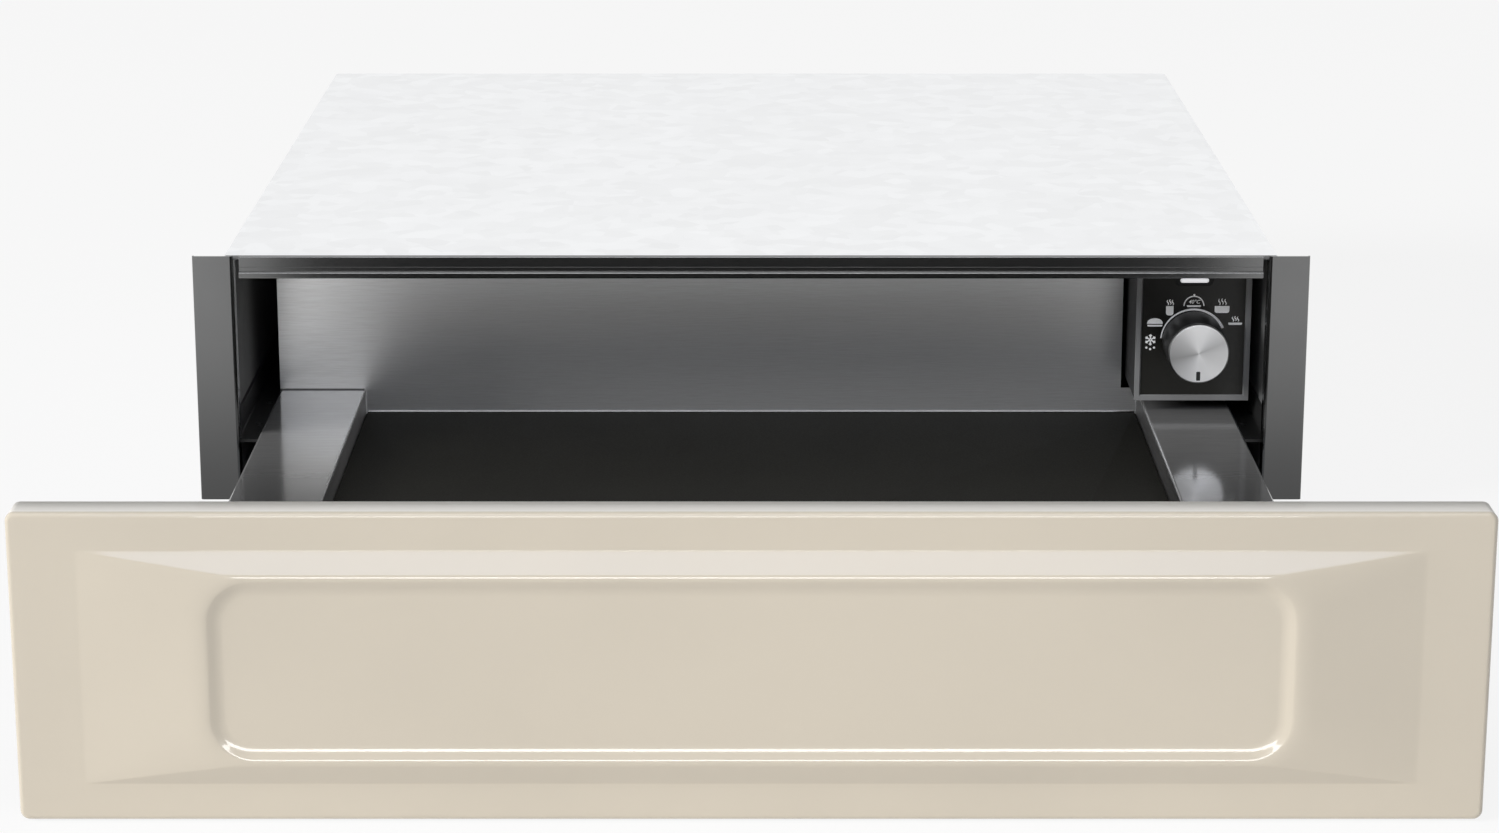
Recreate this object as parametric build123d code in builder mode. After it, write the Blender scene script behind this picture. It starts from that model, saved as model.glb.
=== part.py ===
"""A built-in warming drawer for a 140 mm niche, drawn out by its full travel.

The casing is sheet steel. An enamelled front with a raised panel hides it when the drawer is
in, and there is no handle: the drawer is pushed to spring open. The drawer rides on a pair of three-part
ball slides under its ledges. A fan at the back blows air over a tubular heater and across
the drawer, and a thermostat knob sits in a box that hangs inside the right-hand side.

X runs to the right, Y from front to back and Z up, in millimetres. The origin is on the
underside of the casing, in the middle of its width, in the plane of the cabinet's front.
"""

import os

from build123d import *

os.makedirs("parts", exist_ok=True)

LEFT, RIGHT = -1, 1
SIDES = ((LEFT, "left"), (RIGHT, "right"))

# Casing
sheet = 1.0
sheet_bend = 1.5
casing_width = 540.0
casing_depth = 540.0
casing_height = 139.0
casing_flange = 15.0
niche_hole_radius = 2.25
niche_hole_y = 20.0
niche_hole_z = 85.0
niche_hole_spacing = 30.0
rear_flange = 12.0
rear_screw_pitch = 35.0
vent_left_x = -150.0
vent_right_x = 120.0

# Front frame
frame_width = 570.0
frame_bottom = 11.0
frame_height = 129.0
post_width = 21.0
post_return = 6.0
post_bend = 1.2
post_flange_inset = 1.0
bar_height = 11.2
bar_upper_band = 5.2
bar_groove = 0.5
bar_lower_band = 2.2
bar_lip = 1.8
bar_end_gap = 3.0

# Drawer travel
plenum_depth = 39.0
rail_end_gap = 36.0
rail_overlap = 45.0
drawer_end_gap = 6.0
push_gap = 4.0
running_gap = 0.3

# Drawer front
front_width = 597.0
front_height = 131.0
front_bottom = 1.0
front_thickness = 16.0
front_corner = 4.0
front_edge_round = 2.0
skin = 1.0
border_side = 28.0
border_top = 16.0
facet_side = 50.0
facet_top = 10.0
relief_rise = 5.0
relief_corner = 0.8
ridge_crest = 1.5
ridge_band = 7.0
ridge_corner = 19.0
panel_step = 2.0
panel_corner = 15.0
liner_rim = 8.0
liner_fit = 0.2
stiffener_width = 30.0
stiffener_height = 96.0

# Drawer tray
tray_width = 508.0
tray_well_width = 416.0
tray_ledge_z = 45.5
tray_well_depth = 14.0
tray_rim = 4.5
tray_sheet = 1.0
tray_lip = 2.4
back_wall_top = 122.0
back_wall_hem = 3.5
back_wall_lap = 3.0
mat_thickness = 2.0
mat_fit = 1.0
mat_corner = 3.0
runner_flange = 16.0
runner_back_gap = 15.0
bracket_foot = 24.0
bracket_leg = 60.0

# Ball slides, measured from the back of the moving member outwards
rail_front = 15.0
rail_height = 32.0
rail_bottom = 5.5
rail_back_x = 238.0
rail_thickness = 12.7
outer_wall = 1.5
middle_wall = 1.2
outer_flange = 9.5
middle_flange = 7.4
inner_flange = 7.5
web_gap = 1.0
ball_radius = 1.6
small_ball_radius = 1.4
ball_fit = 0.05
ball_count = 6
ball_pitch = 36.0
cage_length = 200.0
cage_wall = 0.4
cage_flange = 6.3
bracket_wall = 1.5
carrier_rise = 2.0
carrier_drop = 2.0
carrier_overhang = 3.0
carrier_tab = 13.0
carrier_hole_radius = 2.0
carrier_hole_pitch = 44.0
carrier_hole_count = 10

# Control box
box_left = 202.0
box_width = 60.0
box_bottom = 52.0
box_front = 46.0
box_depth = 99.0
box_wall = 1.5
box_side_gap = 2.5
bezel_width = 3.0
bezel_depth = 2.5
fascia_thickness = 1.5
fascia_recess = 0.7
knob_z = 84.0
knob_radius = 16.4
knob_length = 27.0
knob_gap = 0.4
knob_taper = 0.4
cap_radius = 15.8
cap_thickness = 2.5
cap_round = 0.8
pointer_width = 2.1
pointer_length = 4.8
pointer_depth = 0.8
pointer_round = 0.5
pointer_edge = 1.5
spindle_radius = 3.0
spindle_fit = 0.05
spindle_hole_radius = 4.5
lamp_z = 116.7
lamp_width = 15.0
lamp_height = 2.4
lamp_proud = 0.3
board_gap = 2.0
board_thickness = 1.6
board_half_height = 6.0
board_lamp_half = 1.0
peg_radius = 1.5
peg_inset = 2.0
thermostat_width = 36.0
thermostat_height = 30.0
thermostat_depth = 24.0
thermostat_gap = 4.0
thermostat_bore = 15.0
spindle_reach = 14.0
strap_reach = 6.0
strap_thickness = 1.5

# Heater and fan behind the baffle
baffle_top = 124.0
baffle_flange = 5.0
slot_width = 4.0
slot_height = 18.0
slot_bottom = 6.0
slot_pitch = 11.0
slot_count = 24
fan_z = 48.0
fan_radius = 36.0
fan_width = 13.0
fan_blades = 20
fan_hub_radius = 8.0
fan_hub_setback = 3.0
fan_ring_width = 6.0
blade_thickness = 1.0
blade_inner_radius = 22.0
blade_lean = 35
shaft_radius = 2.5
shaft_fit = 0.05
motor_width = 52.0
motor_depth = 17.0
rotor_gap = 1.5
lug_radius = 5.0
coil_width = 26.0
coil_height = 12.0
coil_round = 2.0
heater_radius = 3.25
heater_half_length = 165.0
heater_cold_end = 14.0
heater_z = 98.0
heater_bend = 8.0
heater_back_gap = 19.0
hanger_margin = 8.0
hanger_foot = 10.0
tab_length = 9.0
tab_thickness = 0.8
tab_width = 4.8
cutout_x = 102.0
cutout_drop = 29.0
cutout_plate_width = 24.0
cutout_plate_height = 10.0
cutout_radius = 8.0
cutout_height = 6.0
cutout_tab_length = 7.0
cutout_tab_width = 4.0
cutout_tab_spacing = 8.0

# Mains entry and wiring
gland_x = 215.0
gland_z = 72.0
gland_bore_radius = 4.2
gland_thread_radius = 8.0
gland_head_radius = 11.0
gland_head = 6.0
gland_nut = 5.0
gland_round = 1.5
loom_x = 240.0
loom_z = 129.5
loom_radius = 2.5
loom_bend = 9.0
loom_drop = 60.0
loom_back_gap = 12.0
clip_width = 8.0
terminal_width = 26.0
terminal_height = 24.0
terminal_depth = 24.0
terminal_count = 3
terminal_pitch = 8.0
terminal_inset = 5.0
terminal_screw_drop = 8.0
terminal_screw_radius = 2.4

# Push latch
latch_width = 24.0
latch_length = 52.0
latch_height = 16.0
latch_round = 2.0
latch_end_wall = 3.0
plunger_radius = 3.5
plunger_fit = 0.05
plunger_stroke = 4.0
plunger_reach = 16.0
plunger_round = 1.0
striker_width = 20.0
striker_wall = 1.5
striker_foot = 24.0
striker_inset = 70.0
striker_floor_gap = 3.0

# Screws
screw_radius = 1.75
screw_fit = 0.1
screw_head_radius = 3.6
screw_head = 1.8
screw_length = 5.0
flange_screw_inset = 60.0
rail_screw_inset = 25.0
runner_screw_inset = 60.0
front_screw_inset = 12.0
front_screw_low = 9.0
front_screw_drop = 10.0

# Places that follow from the sizes above
fold = sheet_bend + sheet / 2
casing_half = casing_width / 2
side_outer = casing_half - sheet
side_inner = side_outer - sheet
frame_top = frame_bottom + frame_height
frame_half = frame_width / 2
post_inner = frame_half - post_width
bar_bottom = frame_top - bar_height
bar_half = post_inner - bar_end_gap
frame_front = -2 * sheet
bar_front = frame_front - bar_lip
cover_under = casing_height - sheet

baffle_y = casing_depth - plenum_depth
heater_y = casing_depth - heater_back_gap
rail_length = baffle_y - rail_end_gap - rail_front
drawer_travel = rail_length - rail_overlap
back_wall_y = baffle_y - drawer_travel - drawer_end_gap

front_back_closed = bar_front - push_gap
front_back = front_back_closed - drawer_travel
front_face = front_back - front_thickness
front_middle_z = front_bottom + front_height / 2

tray_half = tray_width / 2
well_half = tray_well_width / 2
well_floor = tray_ledge_z - tray_well_depth
ledge_under = tray_ledge_z - tray_sheet
floor_under = well_floor - tray_sheet
wall_right = box_left - box_side_gap
control_x = box_left + box_width / 2
box_right = box_left + box_width
fascia_front = box_front - bezel_depth + fascia_recess
fascia_back = fascia_front + fascia_thickness
knob_back = fascia_front - knob_gap
knob_front = knob_back - knob_length
cap_back = knob_front + cap_thickness

carrier_x = rail_back_x + rail_thickness
rail_middle_z = rail_bottom + rail_height / 2
carrier_shelf = rail_bottom + rail_height + carrier_rise
runner_inner = rail_back_x - bracket_wall
middle_back_x = carrier_x - outer_wall - web_gap
middle_half = rail_height / 2 - outer_wall - 2 * (ball_radius + ball_fit)
inner_half = middle_half - middle_wall - 2 * (small_ball_radius + ball_fit)
heater_pitch = 2 * heater_bend

striker_back = back_wall_y - striker_inset
latch_tip = striker_back + drawer_travel + running_gap
latch_z = sheet + latch_height / 2


# Helpers that work in whichever builder is open


def slab(x, y, z, side=RIGHT, mode=Mode.ADD):
    """Fill the ranges x, y and z; side LEFT mirrors it to the left half."""
    near, far = sorted(side * value for value in x)
    with Locations((near, y[0], z[0])):
        Box(far - near, y[1] - y[0], z[1] - z[0], align=(Align.MIN,) * 3, mode=mode)


def rod(start, radius, length, axis=Axis.Y, mode=Mode.ADD):
    """A round bar that runs from the point start along an axis."""
    with Locations(Plane(origin=start, z_dir=axis.direction)):
        Cylinder(radius, length, align=(Align.CENTER, Align.CENTER, Align.MIN), mode=mode)


def sheet_profile(points, thickness, bend):
    """The section of a folded sheet whose middle line joins the points."""
    with BuildSketch() as profile:
        with BuildLine():
            FilletPolyline(*points, radius=bend)
        trace(line_width=thickness)
    return profile.sketch


def mirrored(points, side):
    """The same points on the chosen side."""
    return [(side * x, y) for x, y in points]


def screw(start, direction, length):
    """A pan-head screw: its head lies outside start and its shank runs along direction."""
    out = Vector(*direction) * -1
    with Locations(Plane(origin=start, z_dir=out)):
        Cylinder(screw_head_radius, screw_head, align=(Align.CENTER, Align.CENTER, Align.MIN))
        Cylinder(screw_radius, length, align=(Align.CENTER, Align.CENTER, Align.MAX))


def screw_hole(start, direction):
    """The clearance hole for such a screw."""
    out = Vector(*direction) * -1
    with Locations(Plane(origin=start, z_dir=out)):
        Cylinder(screw_radius + screw_fit, 4 * screw_length, mode=Mode.SUBTRACT)


# Where the screws go: the place under the head and the way the shank points


def casing_screw_places(side):
    """The screws through the flanges of the pan and the cover, and those of the rear panel."""
    inwards = (-side, 0, 0)
    flange_y = (flange_screw_inset, casing_depth / 2, casing_depth - flange_screw_inset)
    flange_z = (casing_flange / 2, casing_height - casing_flange / 2)
    flanges = [((side * casing_half, y, z), inwards) for y in flange_y for z in flange_z]
    rear_y = casing_depth - sheet - rear_flange / 2
    rear = [((side * side_outer, rear_y, number * rear_screw_pitch), inwards) for number in (1, 2, 3)]
    return flanges, rear


def carrier_screw_places(side):
    """The screws that hold the fixed slide to its carrier."""
    x = side * (carrier_x + bracket_wall)
    end = rail_front + rail_length
    ys = (rail_front + rail_screw_inset, (rail_front + end) / 2, end - rail_screw_inset)
    return [((x, y, rail_middle_z), (-side, 0, 0)) for y in ys]


def runner_screw_places(side):
    """The screws that hold the moving slide to the runner under the ledge."""
    start = rail_front - drawer_travel
    end = start + rail_length
    ys = (start + runner_screw_inset, (start + end) / 2, end - rail_screw_inset)
    return [((side * runner_inner, y, rail_middle_z), (side, 0, 0)) for y in ys]


def front_screw_places(side):
    """The screws from each front bracket into the stiffener of the drawer front."""
    x = side * (runner_inner - bracket_wall - front_screw_inset)
    zs = (rail_bottom + front_screw_low, ledge_under - front_screw_drop)
    return [((x, front_back + bracket_wall, z), (0, -1, 0)) for z in zs]


def motor_screw_places():
    """The screws through the rear panel into the lugs of the fan motor."""
    reach = motor_width / 2 - lug_radius
    corners = [(x, z) for x in (-reach, reach) for z in (fan_z - reach, fan_z + reach)]
    return [((x, casing_depth, z), (0, -1, 0)) for x, z in corners]


# Casing


def make_base_pan():
    """The floor of the casing with an upturned flange along each side."""
    half = casing_half - sheet / 2
    with BuildPart() as base_pan:
        with BuildSketch(Plane.XZ):
            add(
                sheet_profile(
                    [(-half, casing_flange), (-half, sheet / 2), (half, sheet / 2), (half, casing_flange)],
                    sheet,
                    sheet_bend,
                )
            )
        extrude(amount=-casing_depth)
        for side, _ in SIDES:
            for place in casing_screw_places(side)[0]:
                screw_hole(*place)
    return base_pan


def make_top_cover():
    """The lid of the casing: a flange down each side and one behind the top bar."""
    half = casing_half - sheet / 2
    top = casing_height - sheet / 2
    low = casing_height - casing_flange
    with BuildPart() as top_cover:
        with BuildSketch(Plane.XZ):
            add(sheet_profile([(-half, low), (-half, top), (half, top), (half, low)], sheet, sheet_bend))
        extrude(amount=-casing_depth)
        slab((-bar_half, bar_half), (-sheet, 0), (bar_bottom + sheet, casing_height))
        slab((-bar_half, bar_half), (0, sheet), (cover_under, casing_height))
        bend = top_cover.edges().filter_by(Axis.X).group_by(Axis.Z)[-1].sort_by(Axis.Y)[0]
        fillet(bend, sheet / 2)
        for side, _ in SIDES:
            for place in casing_screw_places(side)[0]:
                screw_hole(*place)
    return top_cover


def make_side_panel(side):
    """A side wall, whose front flange carries the post."""
    with BuildPart() as side_panel:
        slab((side_inner, side_outer), (0, casing_depth), (fold, casing_height - fold), side)
        flange_z = (casing_flange + sheet, casing_height - casing_flange - sheet)
        slab((side_inner, frame_half - post_flange_inset - sheet), (-sheet, 0), flange_z, side)
        flanges, rear = casing_screw_places(side)
        for place in flanges + rear:
            screw_hole(*place)
        for z in (niche_hole_z - niche_hole_spacing / 2, niche_hole_z + niche_hole_spacing / 2):
            start = (side * side_inner - sheet, niche_hole_y, z)
            rod(start, niche_hole_radius, 3 * sheet, Axis.X, Mode.SUBTRACT)
    return side_panel


def make_rear_panel():
    """The back of the casing, with its vents and the holes for the motor and the mains entry."""
    plate_z = (sheet, cover_under)
    with BuildPart() as rear_panel:
        slab((-side_inner, side_inner), (casing_depth - sheet, casing_depth), plate_z)
        flange_y = (casing_depth - sheet - rear_flange, casing_depth)
        for side, _ in SIDES:
            slab((side_inner - sheet, side_inner), flange_y, plate_z, side)
            for place in casing_screw_places(side)[1]:
                screw_hole(*place)
        for place in motor_screw_places():
            screw_hole(*place)
        gland_start = (gland_x, casing_depth - 2 * sheet, gland_z)
        rod(gland_start, gland_thread_radius + screw_fit, 4 * sheet, Axis.Y, Mode.SUBTRACT)
        with BuildSketch(Plane.XZ.offset(-casing_depth)):
            vent_z = baffle_top - slot_height
            with Locations((vent_left_x, vent_z), (vent_right_x, vent_z)):
                with GridLocations(slot_pitch, 1, slot_count // 3, 1):
                    SlotOverall(slot_height, slot_width, rotation=90)
        extrude(amount=2 * sheet, mode=Mode.SUBTRACT)
    return rear_panel


# Front frame


def make_post(side):
    """One upright of the front frame, folded from sheet."""
    outer = frame_half - sheet / 2
    inner = post_inner + sheet / 2
    face = frame_front + sheet / 2
    with BuildPart() as post:
        with BuildSketch(Plane.XY.offset(frame_bottom)):
            points = [(inner, post_return), (inner, face), (outer, face), (outer, 0)]
            add(sheet_profile(mirrored(points, side), sheet, post_bend))
        extrude(amount=frame_height)
        clear_x = (post_inner - sheet, frame_half - 1.5 * sheet)
        clear_z = (cover_under - running_gap, frame_top + sheet)
        slab(clear_x, (-sheet, post_return + sheet), clear_z, side, Mode.SUBTRACT)
    return post


def make_top_bar():
    """The painted bar over the opening: two flat bands, a groove between them and a lip below."""
    groove_top = frame_top - bar_upper_band
    band_top = groove_top - bar_groove
    lip_top = band_top - bar_lower_band
    with BuildPart() as top_bar:
        with BuildSketch(Plane.YZ.offset(-bar_half)):
            with BuildLine():
                Polyline(
                    (-sheet, bar_bottom),
                    (-sheet, frame_top),
                    (frame_front, frame_top),
                    (frame_front, groove_top),
                    (frame_front + bar_groove, groove_top),
                    (frame_front + bar_groove, band_top),
                    (frame_front, band_top),
                    (frame_front, lip_top),
                    (bar_front, lip_top),
                    (bar_front, bar_bottom),
                    close=True,
                )
            make_face()
        extrude(amount=2 * bar_half)
        lip_edges = top_bar.edges().filter_by(Axis.X).group_by(Axis.Y)[0]
        fillet(lip_edges, bar_lip / 3)
        upper_edge = top_bar.edges().filter_by(Axis.X).group_by(Axis.Z)[-1].sort_by(Axis.Y)[0]
        fillet(upper_edge, bar_groove)
    return top_bar


# Drawer front


def relief(plane, inset, rise):
    """The raised field: its foot and its top, drawn in by inset, as a ruled frustum."""
    foot_width = front_width - 2 * (border_side + inset)
    foot_height = front_height - 2 * (border_top + inset)
    with BuildPart() as field:
        with BuildSketch(plane):
            RectangleRounded(foot_width, foot_height, relief_corner)
        with BuildSketch(plane.offset(rise)):
            RectangleRounded(foot_width - 2 * facet_side, foot_height - 2 * facet_top, ridge_corner)
        loft(ruled=True)
    return field.part


def make_front_panel():
    """The pressed and enamelled skin of the drawer front."""
    back = Plane.XZ.offset(-front_back)
    back.origin = Vector(0, front_back, front_middle_z)
    face = back.offset(front_thickness)
    ridge_width = front_width - 2 * (border_side + facet_side)
    ridge_height = front_height - 2 * (border_top + facet_top)
    field = relief(face, 0, relief_rise)
    hollow = relief(face.offset(-skin), skin, relief_rise - panel_step)
    with BuildPart() as front_panel:
        with BuildSketch(back):
            RectangleRounded(front_width, front_height, front_corner)
        extrude(amount=front_thickness)
        rim = front_panel.faces().sort_by(Axis.Y)[0].edges()
        fillet(rim, front_edge_round)
        add(field)
        for rise, inset, corner in (
            (relief_rise, ridge_crest, ridge_corner - ridge_crest),
            (relief_rise - panel_step, ridge_band, panel_corner),
        ):
            with BuildSketch(face.offset(rise)):
                RectangleRounded(ridge_width - 2 * inset, ridge_height - 2 * inset, corner)
        loft(ruled=True, mode=Mode.SUBTRACT)
        with BuildSketch(back):
            RectangleRounded(front_width - 2 * skin, front_height - 2 * skin, front_corner - skin)
        extrude(amount=front_thickness - skin, mode=Mode.SUBTRACT)
        add(hollow, mode=Mode.SUBTRACT)
    return front_panel


def make_front_liner():
    """The pan that closes the drawer front from behind."""
    plane = Plane(origin=(0, front_back, front_middle_z), x_dir=(1, 0, 0), z_dir=(0, -1, 0))
    width = front_width - 2 * (skin + liner_fit)
    height = front_height - 2 * (skin + liner_fit)
    with BuildPart() as front_liner:
        with BuildSketch(plane):
            RectangleRounded(width, height, front_corner - skin - liner_fit)
        extrude(amount=liner_rim)
        with BuildSketch(plane.offset(sheet)):
            Rectangle(width - 2 * sheet, height - 2 * sheet)
        extrude(amount=liner_rim, mode=Mode.SUBTRACT)
        for side, _ in SIDES:
            for place in front_screw_places(side):
                screw_hole(*place)
    return front_liner


def make_front_stiffener(side):
    """A channel inside the drawer front, where the bracket's screws bite."""
    x = abs(front_screw_places(side)[0][0][0])
    near, far = front_face + skin, front_back - sheet
    z = (front_middle_z - stiffener_height / 2, front_middle_z + stiffener_height / 2)
    with BuildPart() as front_stiffener:
        slab((x - stiffener_width / 2, x + stiffener_width / 2), (near, far), z, side)
        hollow_x = (x - stiffener_width / 2 + sheet, x + stiffener_width / 2 - sheet)
        slab(hollow_x, (near, far - sheet), z, side, Mode.SUBTRACT)
        for place in front_screw_places(side):
            screw_hole(*place)
    return front_stiffener


def make_front_bracket(side):
    """The angle that ties a runner to the drawer front."""
    leg_x = runner_inner - bracket_wall / 2
    foot_y = front_back + bracket_wall / 2
    points = [(leg_x - bracket_foot, foot_y), (leg_x, foot_y), (leg_x, foot_y + bracket_leg)]
    with BuildPart() as front_bracket:
        with BuildSketch(Plane.XY.offset(rail_bottom)):
            add(sheet_profile(mirrored(points, side), bracket_wall, bracket_wall))
        extrude(amount=ledge_under - 2 * bracket_wall - running_gap - rail_bottom)
        for place in front_screw_places(side):
            screw_hole(*place)
    return front_bracket


# Drawer tray


def on_lip(edge):
    """Whether an edge runs along the top of the lip at the back of the well."""
    return abs(edge.center().Z - well_floor - tray_lip) < running_gap


def make_tray():
    """The stainless tray: a ledge down each side and a sunken floor between them."""
    rim_x = tray_half - tray_sheet / 2
    well_x = well_half + tray_sheet / 2
    ledge = tray_ledge_z - tray_sheet / 2
    floor = well_floor - tray_sheet / 2
    right_half = [(well_x, floor), (well_x, ledge), (rim_x, ledge), (rim_x, tray_ledge_z - tray_rim)]
    with BuildPart() as tray:
        with BuildSketch(Plane.XZ.offset(-front_back)):
            add(sheet_profile(mirrored(right_half[::-1], LEFT) + right_half, tray_sheet, tray_sheet))
        extrude(amount=front_back - back_wall_y)
        lip_x = (-well_half + tray_sheet, well_half - tray_sheet)
        slab(lip_x, (back_wall_y - tray_sheet, back_wall_y), (floor_under, well_floor + tray_lip))
        fillet(tray.edges().filter_by(Axis.X).filter_by(on_lip).sort_by(Axis.Y)[0], tray_sheet / 2)
    return tray


def make_drawer_back():
    """The back wall of the drawer, notched to pass beside the control box."""
    hem_y = back_wall_y + tray_sheet + back_wall_hem
    low = ledge_under - back_wall_lap
    with BuildPart() as drawer_back:
        wall_y = (back_wall_y, back_wall_y + tray_sheet)
        slab((-tray_half, wall_right), wall_y, (low, back_wall_top))
        slab((-tray_half, tray_half), wall_y, (low, tray_ledge_z + tray_sheet))
        slab((-well_half, well_half), wall_y, (floor_under, tray_ledge_z))
        slab((-tray_half, wall_right), (back_wall_y, hem_y), (back_wall_top - tray_sheet, back_wall_top))
    return drawer_back


def make_tray_mat():
    """The non-slip mat on the floor of the tray."""
    start, end = front_back + mat_fit, back_wall_y - tray_sheet - mat_fit
    with BuildPart() as tray_mat:
        with BuildSketch(Plane.XY.offset(well_floor)):
            with Locations((0, (start + end) / 2)):
                RectangleRounded(tray_well_width - mat_fit, end - start, mat_corner)
        extrude(amount=mat_thickness)
    return tray_mat


def make_tray_runner(side):
    """The angle under a ledge that the moving slide is screwed to."""
    leg_x = rail_back_x - bracket_wall / 2
    top = ledge_under - bracket_wall / 2
    points = [(leg_x, rail_bottom), (leg_x, top), (leg_x - runner_flange, top)]
    with BuildPart() as tray_runner:
        with BuildSketch(Plane.XZ.offset(-front_back - bracket_wall)):
            add(sheet_profile(mirrored(points, side), bracket_wall, bracket_wall))
        extrude(amount=front_back + 2 * bracket_wall - (back_wall_y - runner_back_gap))
        for place in runner_screw_places(side):
            screw_hole(*place)
    return tray_runner


# Ball slides


def channel(back_x, depth, half, wall, side, start):
    """A C-shaped slide member: its web at back_x, and depth is negative where it opens inwards."""
    web = sorted((back_x, back_x + (wall if depth > 0 else -wall)))
    reach = sorted((back_x, back_x + depth))
    y = (start, start + rail_length)
    z = (rail_middle_z - half, rail_middle_z + half)
    slab(web, y, z, side)
    slab(reach, y, (z[1] - wall, z[1]), side)
    slab(reach, y, (z[0], z[0] + wall), side)


def make_rail_outer(side):
    """The fixed member, screwed to its carrier."""
    with BuildPart() as rail_outer:
        channel(carrier_x, -outer_flange, rail_height / 2, outer_wall, side, rail_front)
        for place in carrier_screw_places(side):
            screw_hole(*place)
    return rail_outer


def make_rail_middle(side):
    """The middle member, which travels half as far as the drawer."""
    start = rail_front - drawer_travel / 2
    with BuildPart() as rail_middle:
        channel(middle_back_x, -middle_flange, middle_half, middle_wall, side, start)
    return rail_middle


def make_rail_inner(side):
    """The moving member, screwed to the runner."""
    start = rail_front - drawer_travel
    with BuildPart() as rail_inner:
        channel(rail_back_x, inner_flange, inner_half, middle_wall, side, start)
        for place in runner_screw_places(side):
            screw_hole(*place)
    return rail_inner


def make_cage(side, web_x, row_half, radius, share):
    """A cage with its two rows of balls, which has travelled the given share of the way."""
    middle_y = rail_front + rail_length / 2 - share * drawer_travel
    y = (middle_y - cage_length / 2, middle_y + cage_length / 2)
    reach = (web_x - cage_flange, web_x)
    ball_x = web_x - cage_flange / 2
    rows = (rail_middle_z - row_half, rail_middle_z + row_half)
    with BuildPart() as cage:
        slab((web_x - cage_wall, web_x), y, (rows[0], rows[1]), side)
        for row in rows:
            slab(reach, y, (row - cage_wall / 2, row + cage_wall / 2), side)
            with Locations((side * ball_x, middle_y, row)):
                with GridLocations(1, ball_pitch, 1, ball_count):
                    Cylinder(radius + ball_fit, 2 * radius, mode=Mode.SUBTRACT)
    balls = [
        Pos(side * ball_x, middle_y + (number - (ball_count - 1) / 2) * ball_pitch, row) * Sphere(radius)
        for row in rows
        for number in range(ball_count)
    ]
    with BuildPart() as cage_with_balls:
        add(cage.part)
        add(balls)
    return cage_with_balls


def make_outer_cage(side):
    """The cage between the fixed and the middle member."""
    web_x = carrier_x - outer_wall - (web_gap - cage_wall) / 2
    row_half = rail_height / 2 - outer_wall - ball_radius - ball_fit
    return make_cage(side, web_x, row_half, ball_radius, 1 / 4)


def make_inner_cage(side):
    """The cage between the middle and the moving member."""
    web_x = middle_back_x - middle_wall - (web_gap - cage_wall) / 2
    row_half = middle_half - middle_wall - small_ball_radius - ball_fit
    return make_cage(side, web_x, row_half, small_ball_radius, 3 / 4)


def make_rail_carrier(side):
    """The bracket between the side wall and the fixed slide, with its row of holes."""
    leg_x = carrier_x + bracket_wall / 2
    tab_x = side_inner - bracket_wall / 2
    shelf = carrier_shelf - bracket_wall / 2
    low, high = rail_bottom - carrier_drop, carrier_shelf + carrier_tab
    points = [(leg_x, low), (leg_x, shelf), (tab_x, shelf), (tab_x, high)]
    start, length = rail_front - carrier_overhang, rail_length + 2 * carrier_overhang
    with BuildPart() as rail_carrier:
        with BuildSketch(Plane.XZ.offset(-start)):
            add(sheet_profile(mirrored(points, side), bracket_wall, bracket_wall))
        extrude(amount=-length)
        with Locations((side * (leg_x + tab_x) / 2, start + length / 2, carrier_shelf)):
            with GridLocations(1, carrier_hole_pitch, 1, carrier_hole_count):
                Cylinder(carrier_hole_radius, 4 * bracket_wall, mode=Mode.SUBTRACT)
        for place in carrier_screw_places(side):
            screw_hole(*place)
    return rail_carrier


# Control box


def make_control_box():
    """The box that hangs under the cover, open at the front."""
    with BuildPart() as control_box:
        slab((box_left, box_right), (box_front, box_front + box_depth), (box_bottom, cover_under))
        inner_x = (box_left + box_wall, box_right - box_wall)
        inner_z = (box_bottom + box_wall, cover_under - box_wall)
        slab(inner_x, (box_front, box_front + box_depth - box_wall), inner_z, mode=Mode.SUBTRACT)
        long_edges = control_box.edges().filter_by(Axis.Y).group_by(Axis.Z)[0]
        fillet(long_edges, box_wall / 2)
        exit_start = (loom_x, box_front + box_depth - 2 * box_wall, loom_z)
        rod(exit_start, loom_radius + running_gap, 3 * box_wall, Axis.Y, Mode.SUBTRACT)
    return control_box


def make_control_bezel():
    """The rim round the fascia."""
    outer_z = (box_bottom, cover_under - sheet)
    with BuildPart() as control_bezel:
        slab((box_left, box_right), (box_front - bezel_depth, box_front), outer_z)
        inner_x = (box_left + bezel_width, box_right - bezel_width)
        inner_z = (outer_z[0] + bezel_width, outer_z[1] - bezel_width)
        slab(inner_x, (box_front - bezel_depth, box_front), inner_z, mode=Mode.SUBTRACT)
        chamfer(control_bezel.faces().sort_by(Axis.Y)[0].inner_wires()[0].edges(), bezel_depth / 4)
    return control_bezel


def make_control_fascia():
    """The dark plate with the dial's print, a hole for the spindle and a slot for the lamp."""
    back = fascia_back
    inner_z = (box_bottom + bezel_width, cover_under - sheet - bezel_width)
    with BuildPart() as control_fascia:
        slab((box_left + bezel_width, box_right - bezel_width), (back - fascia_thickness, back), inner_z)
        hole_start = (control_x, back - 2 * fascia_thickness, knob_z)
        rod(hole_start, spindle_hole_radius, 3 * fascia_thickness, mode=Mode.SUBTRACT)
        with BuildSketch(Plane.XZ.offset(-back)):
            with Locations((control_x, lamp_z)):
                SlotOverall(lamp_width + running_gap, lamp_height + running_gap)
        extrude(amount=2 * fascia_thickness, mode=Mode.SUBTRACT)
    return control_fascia


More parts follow.
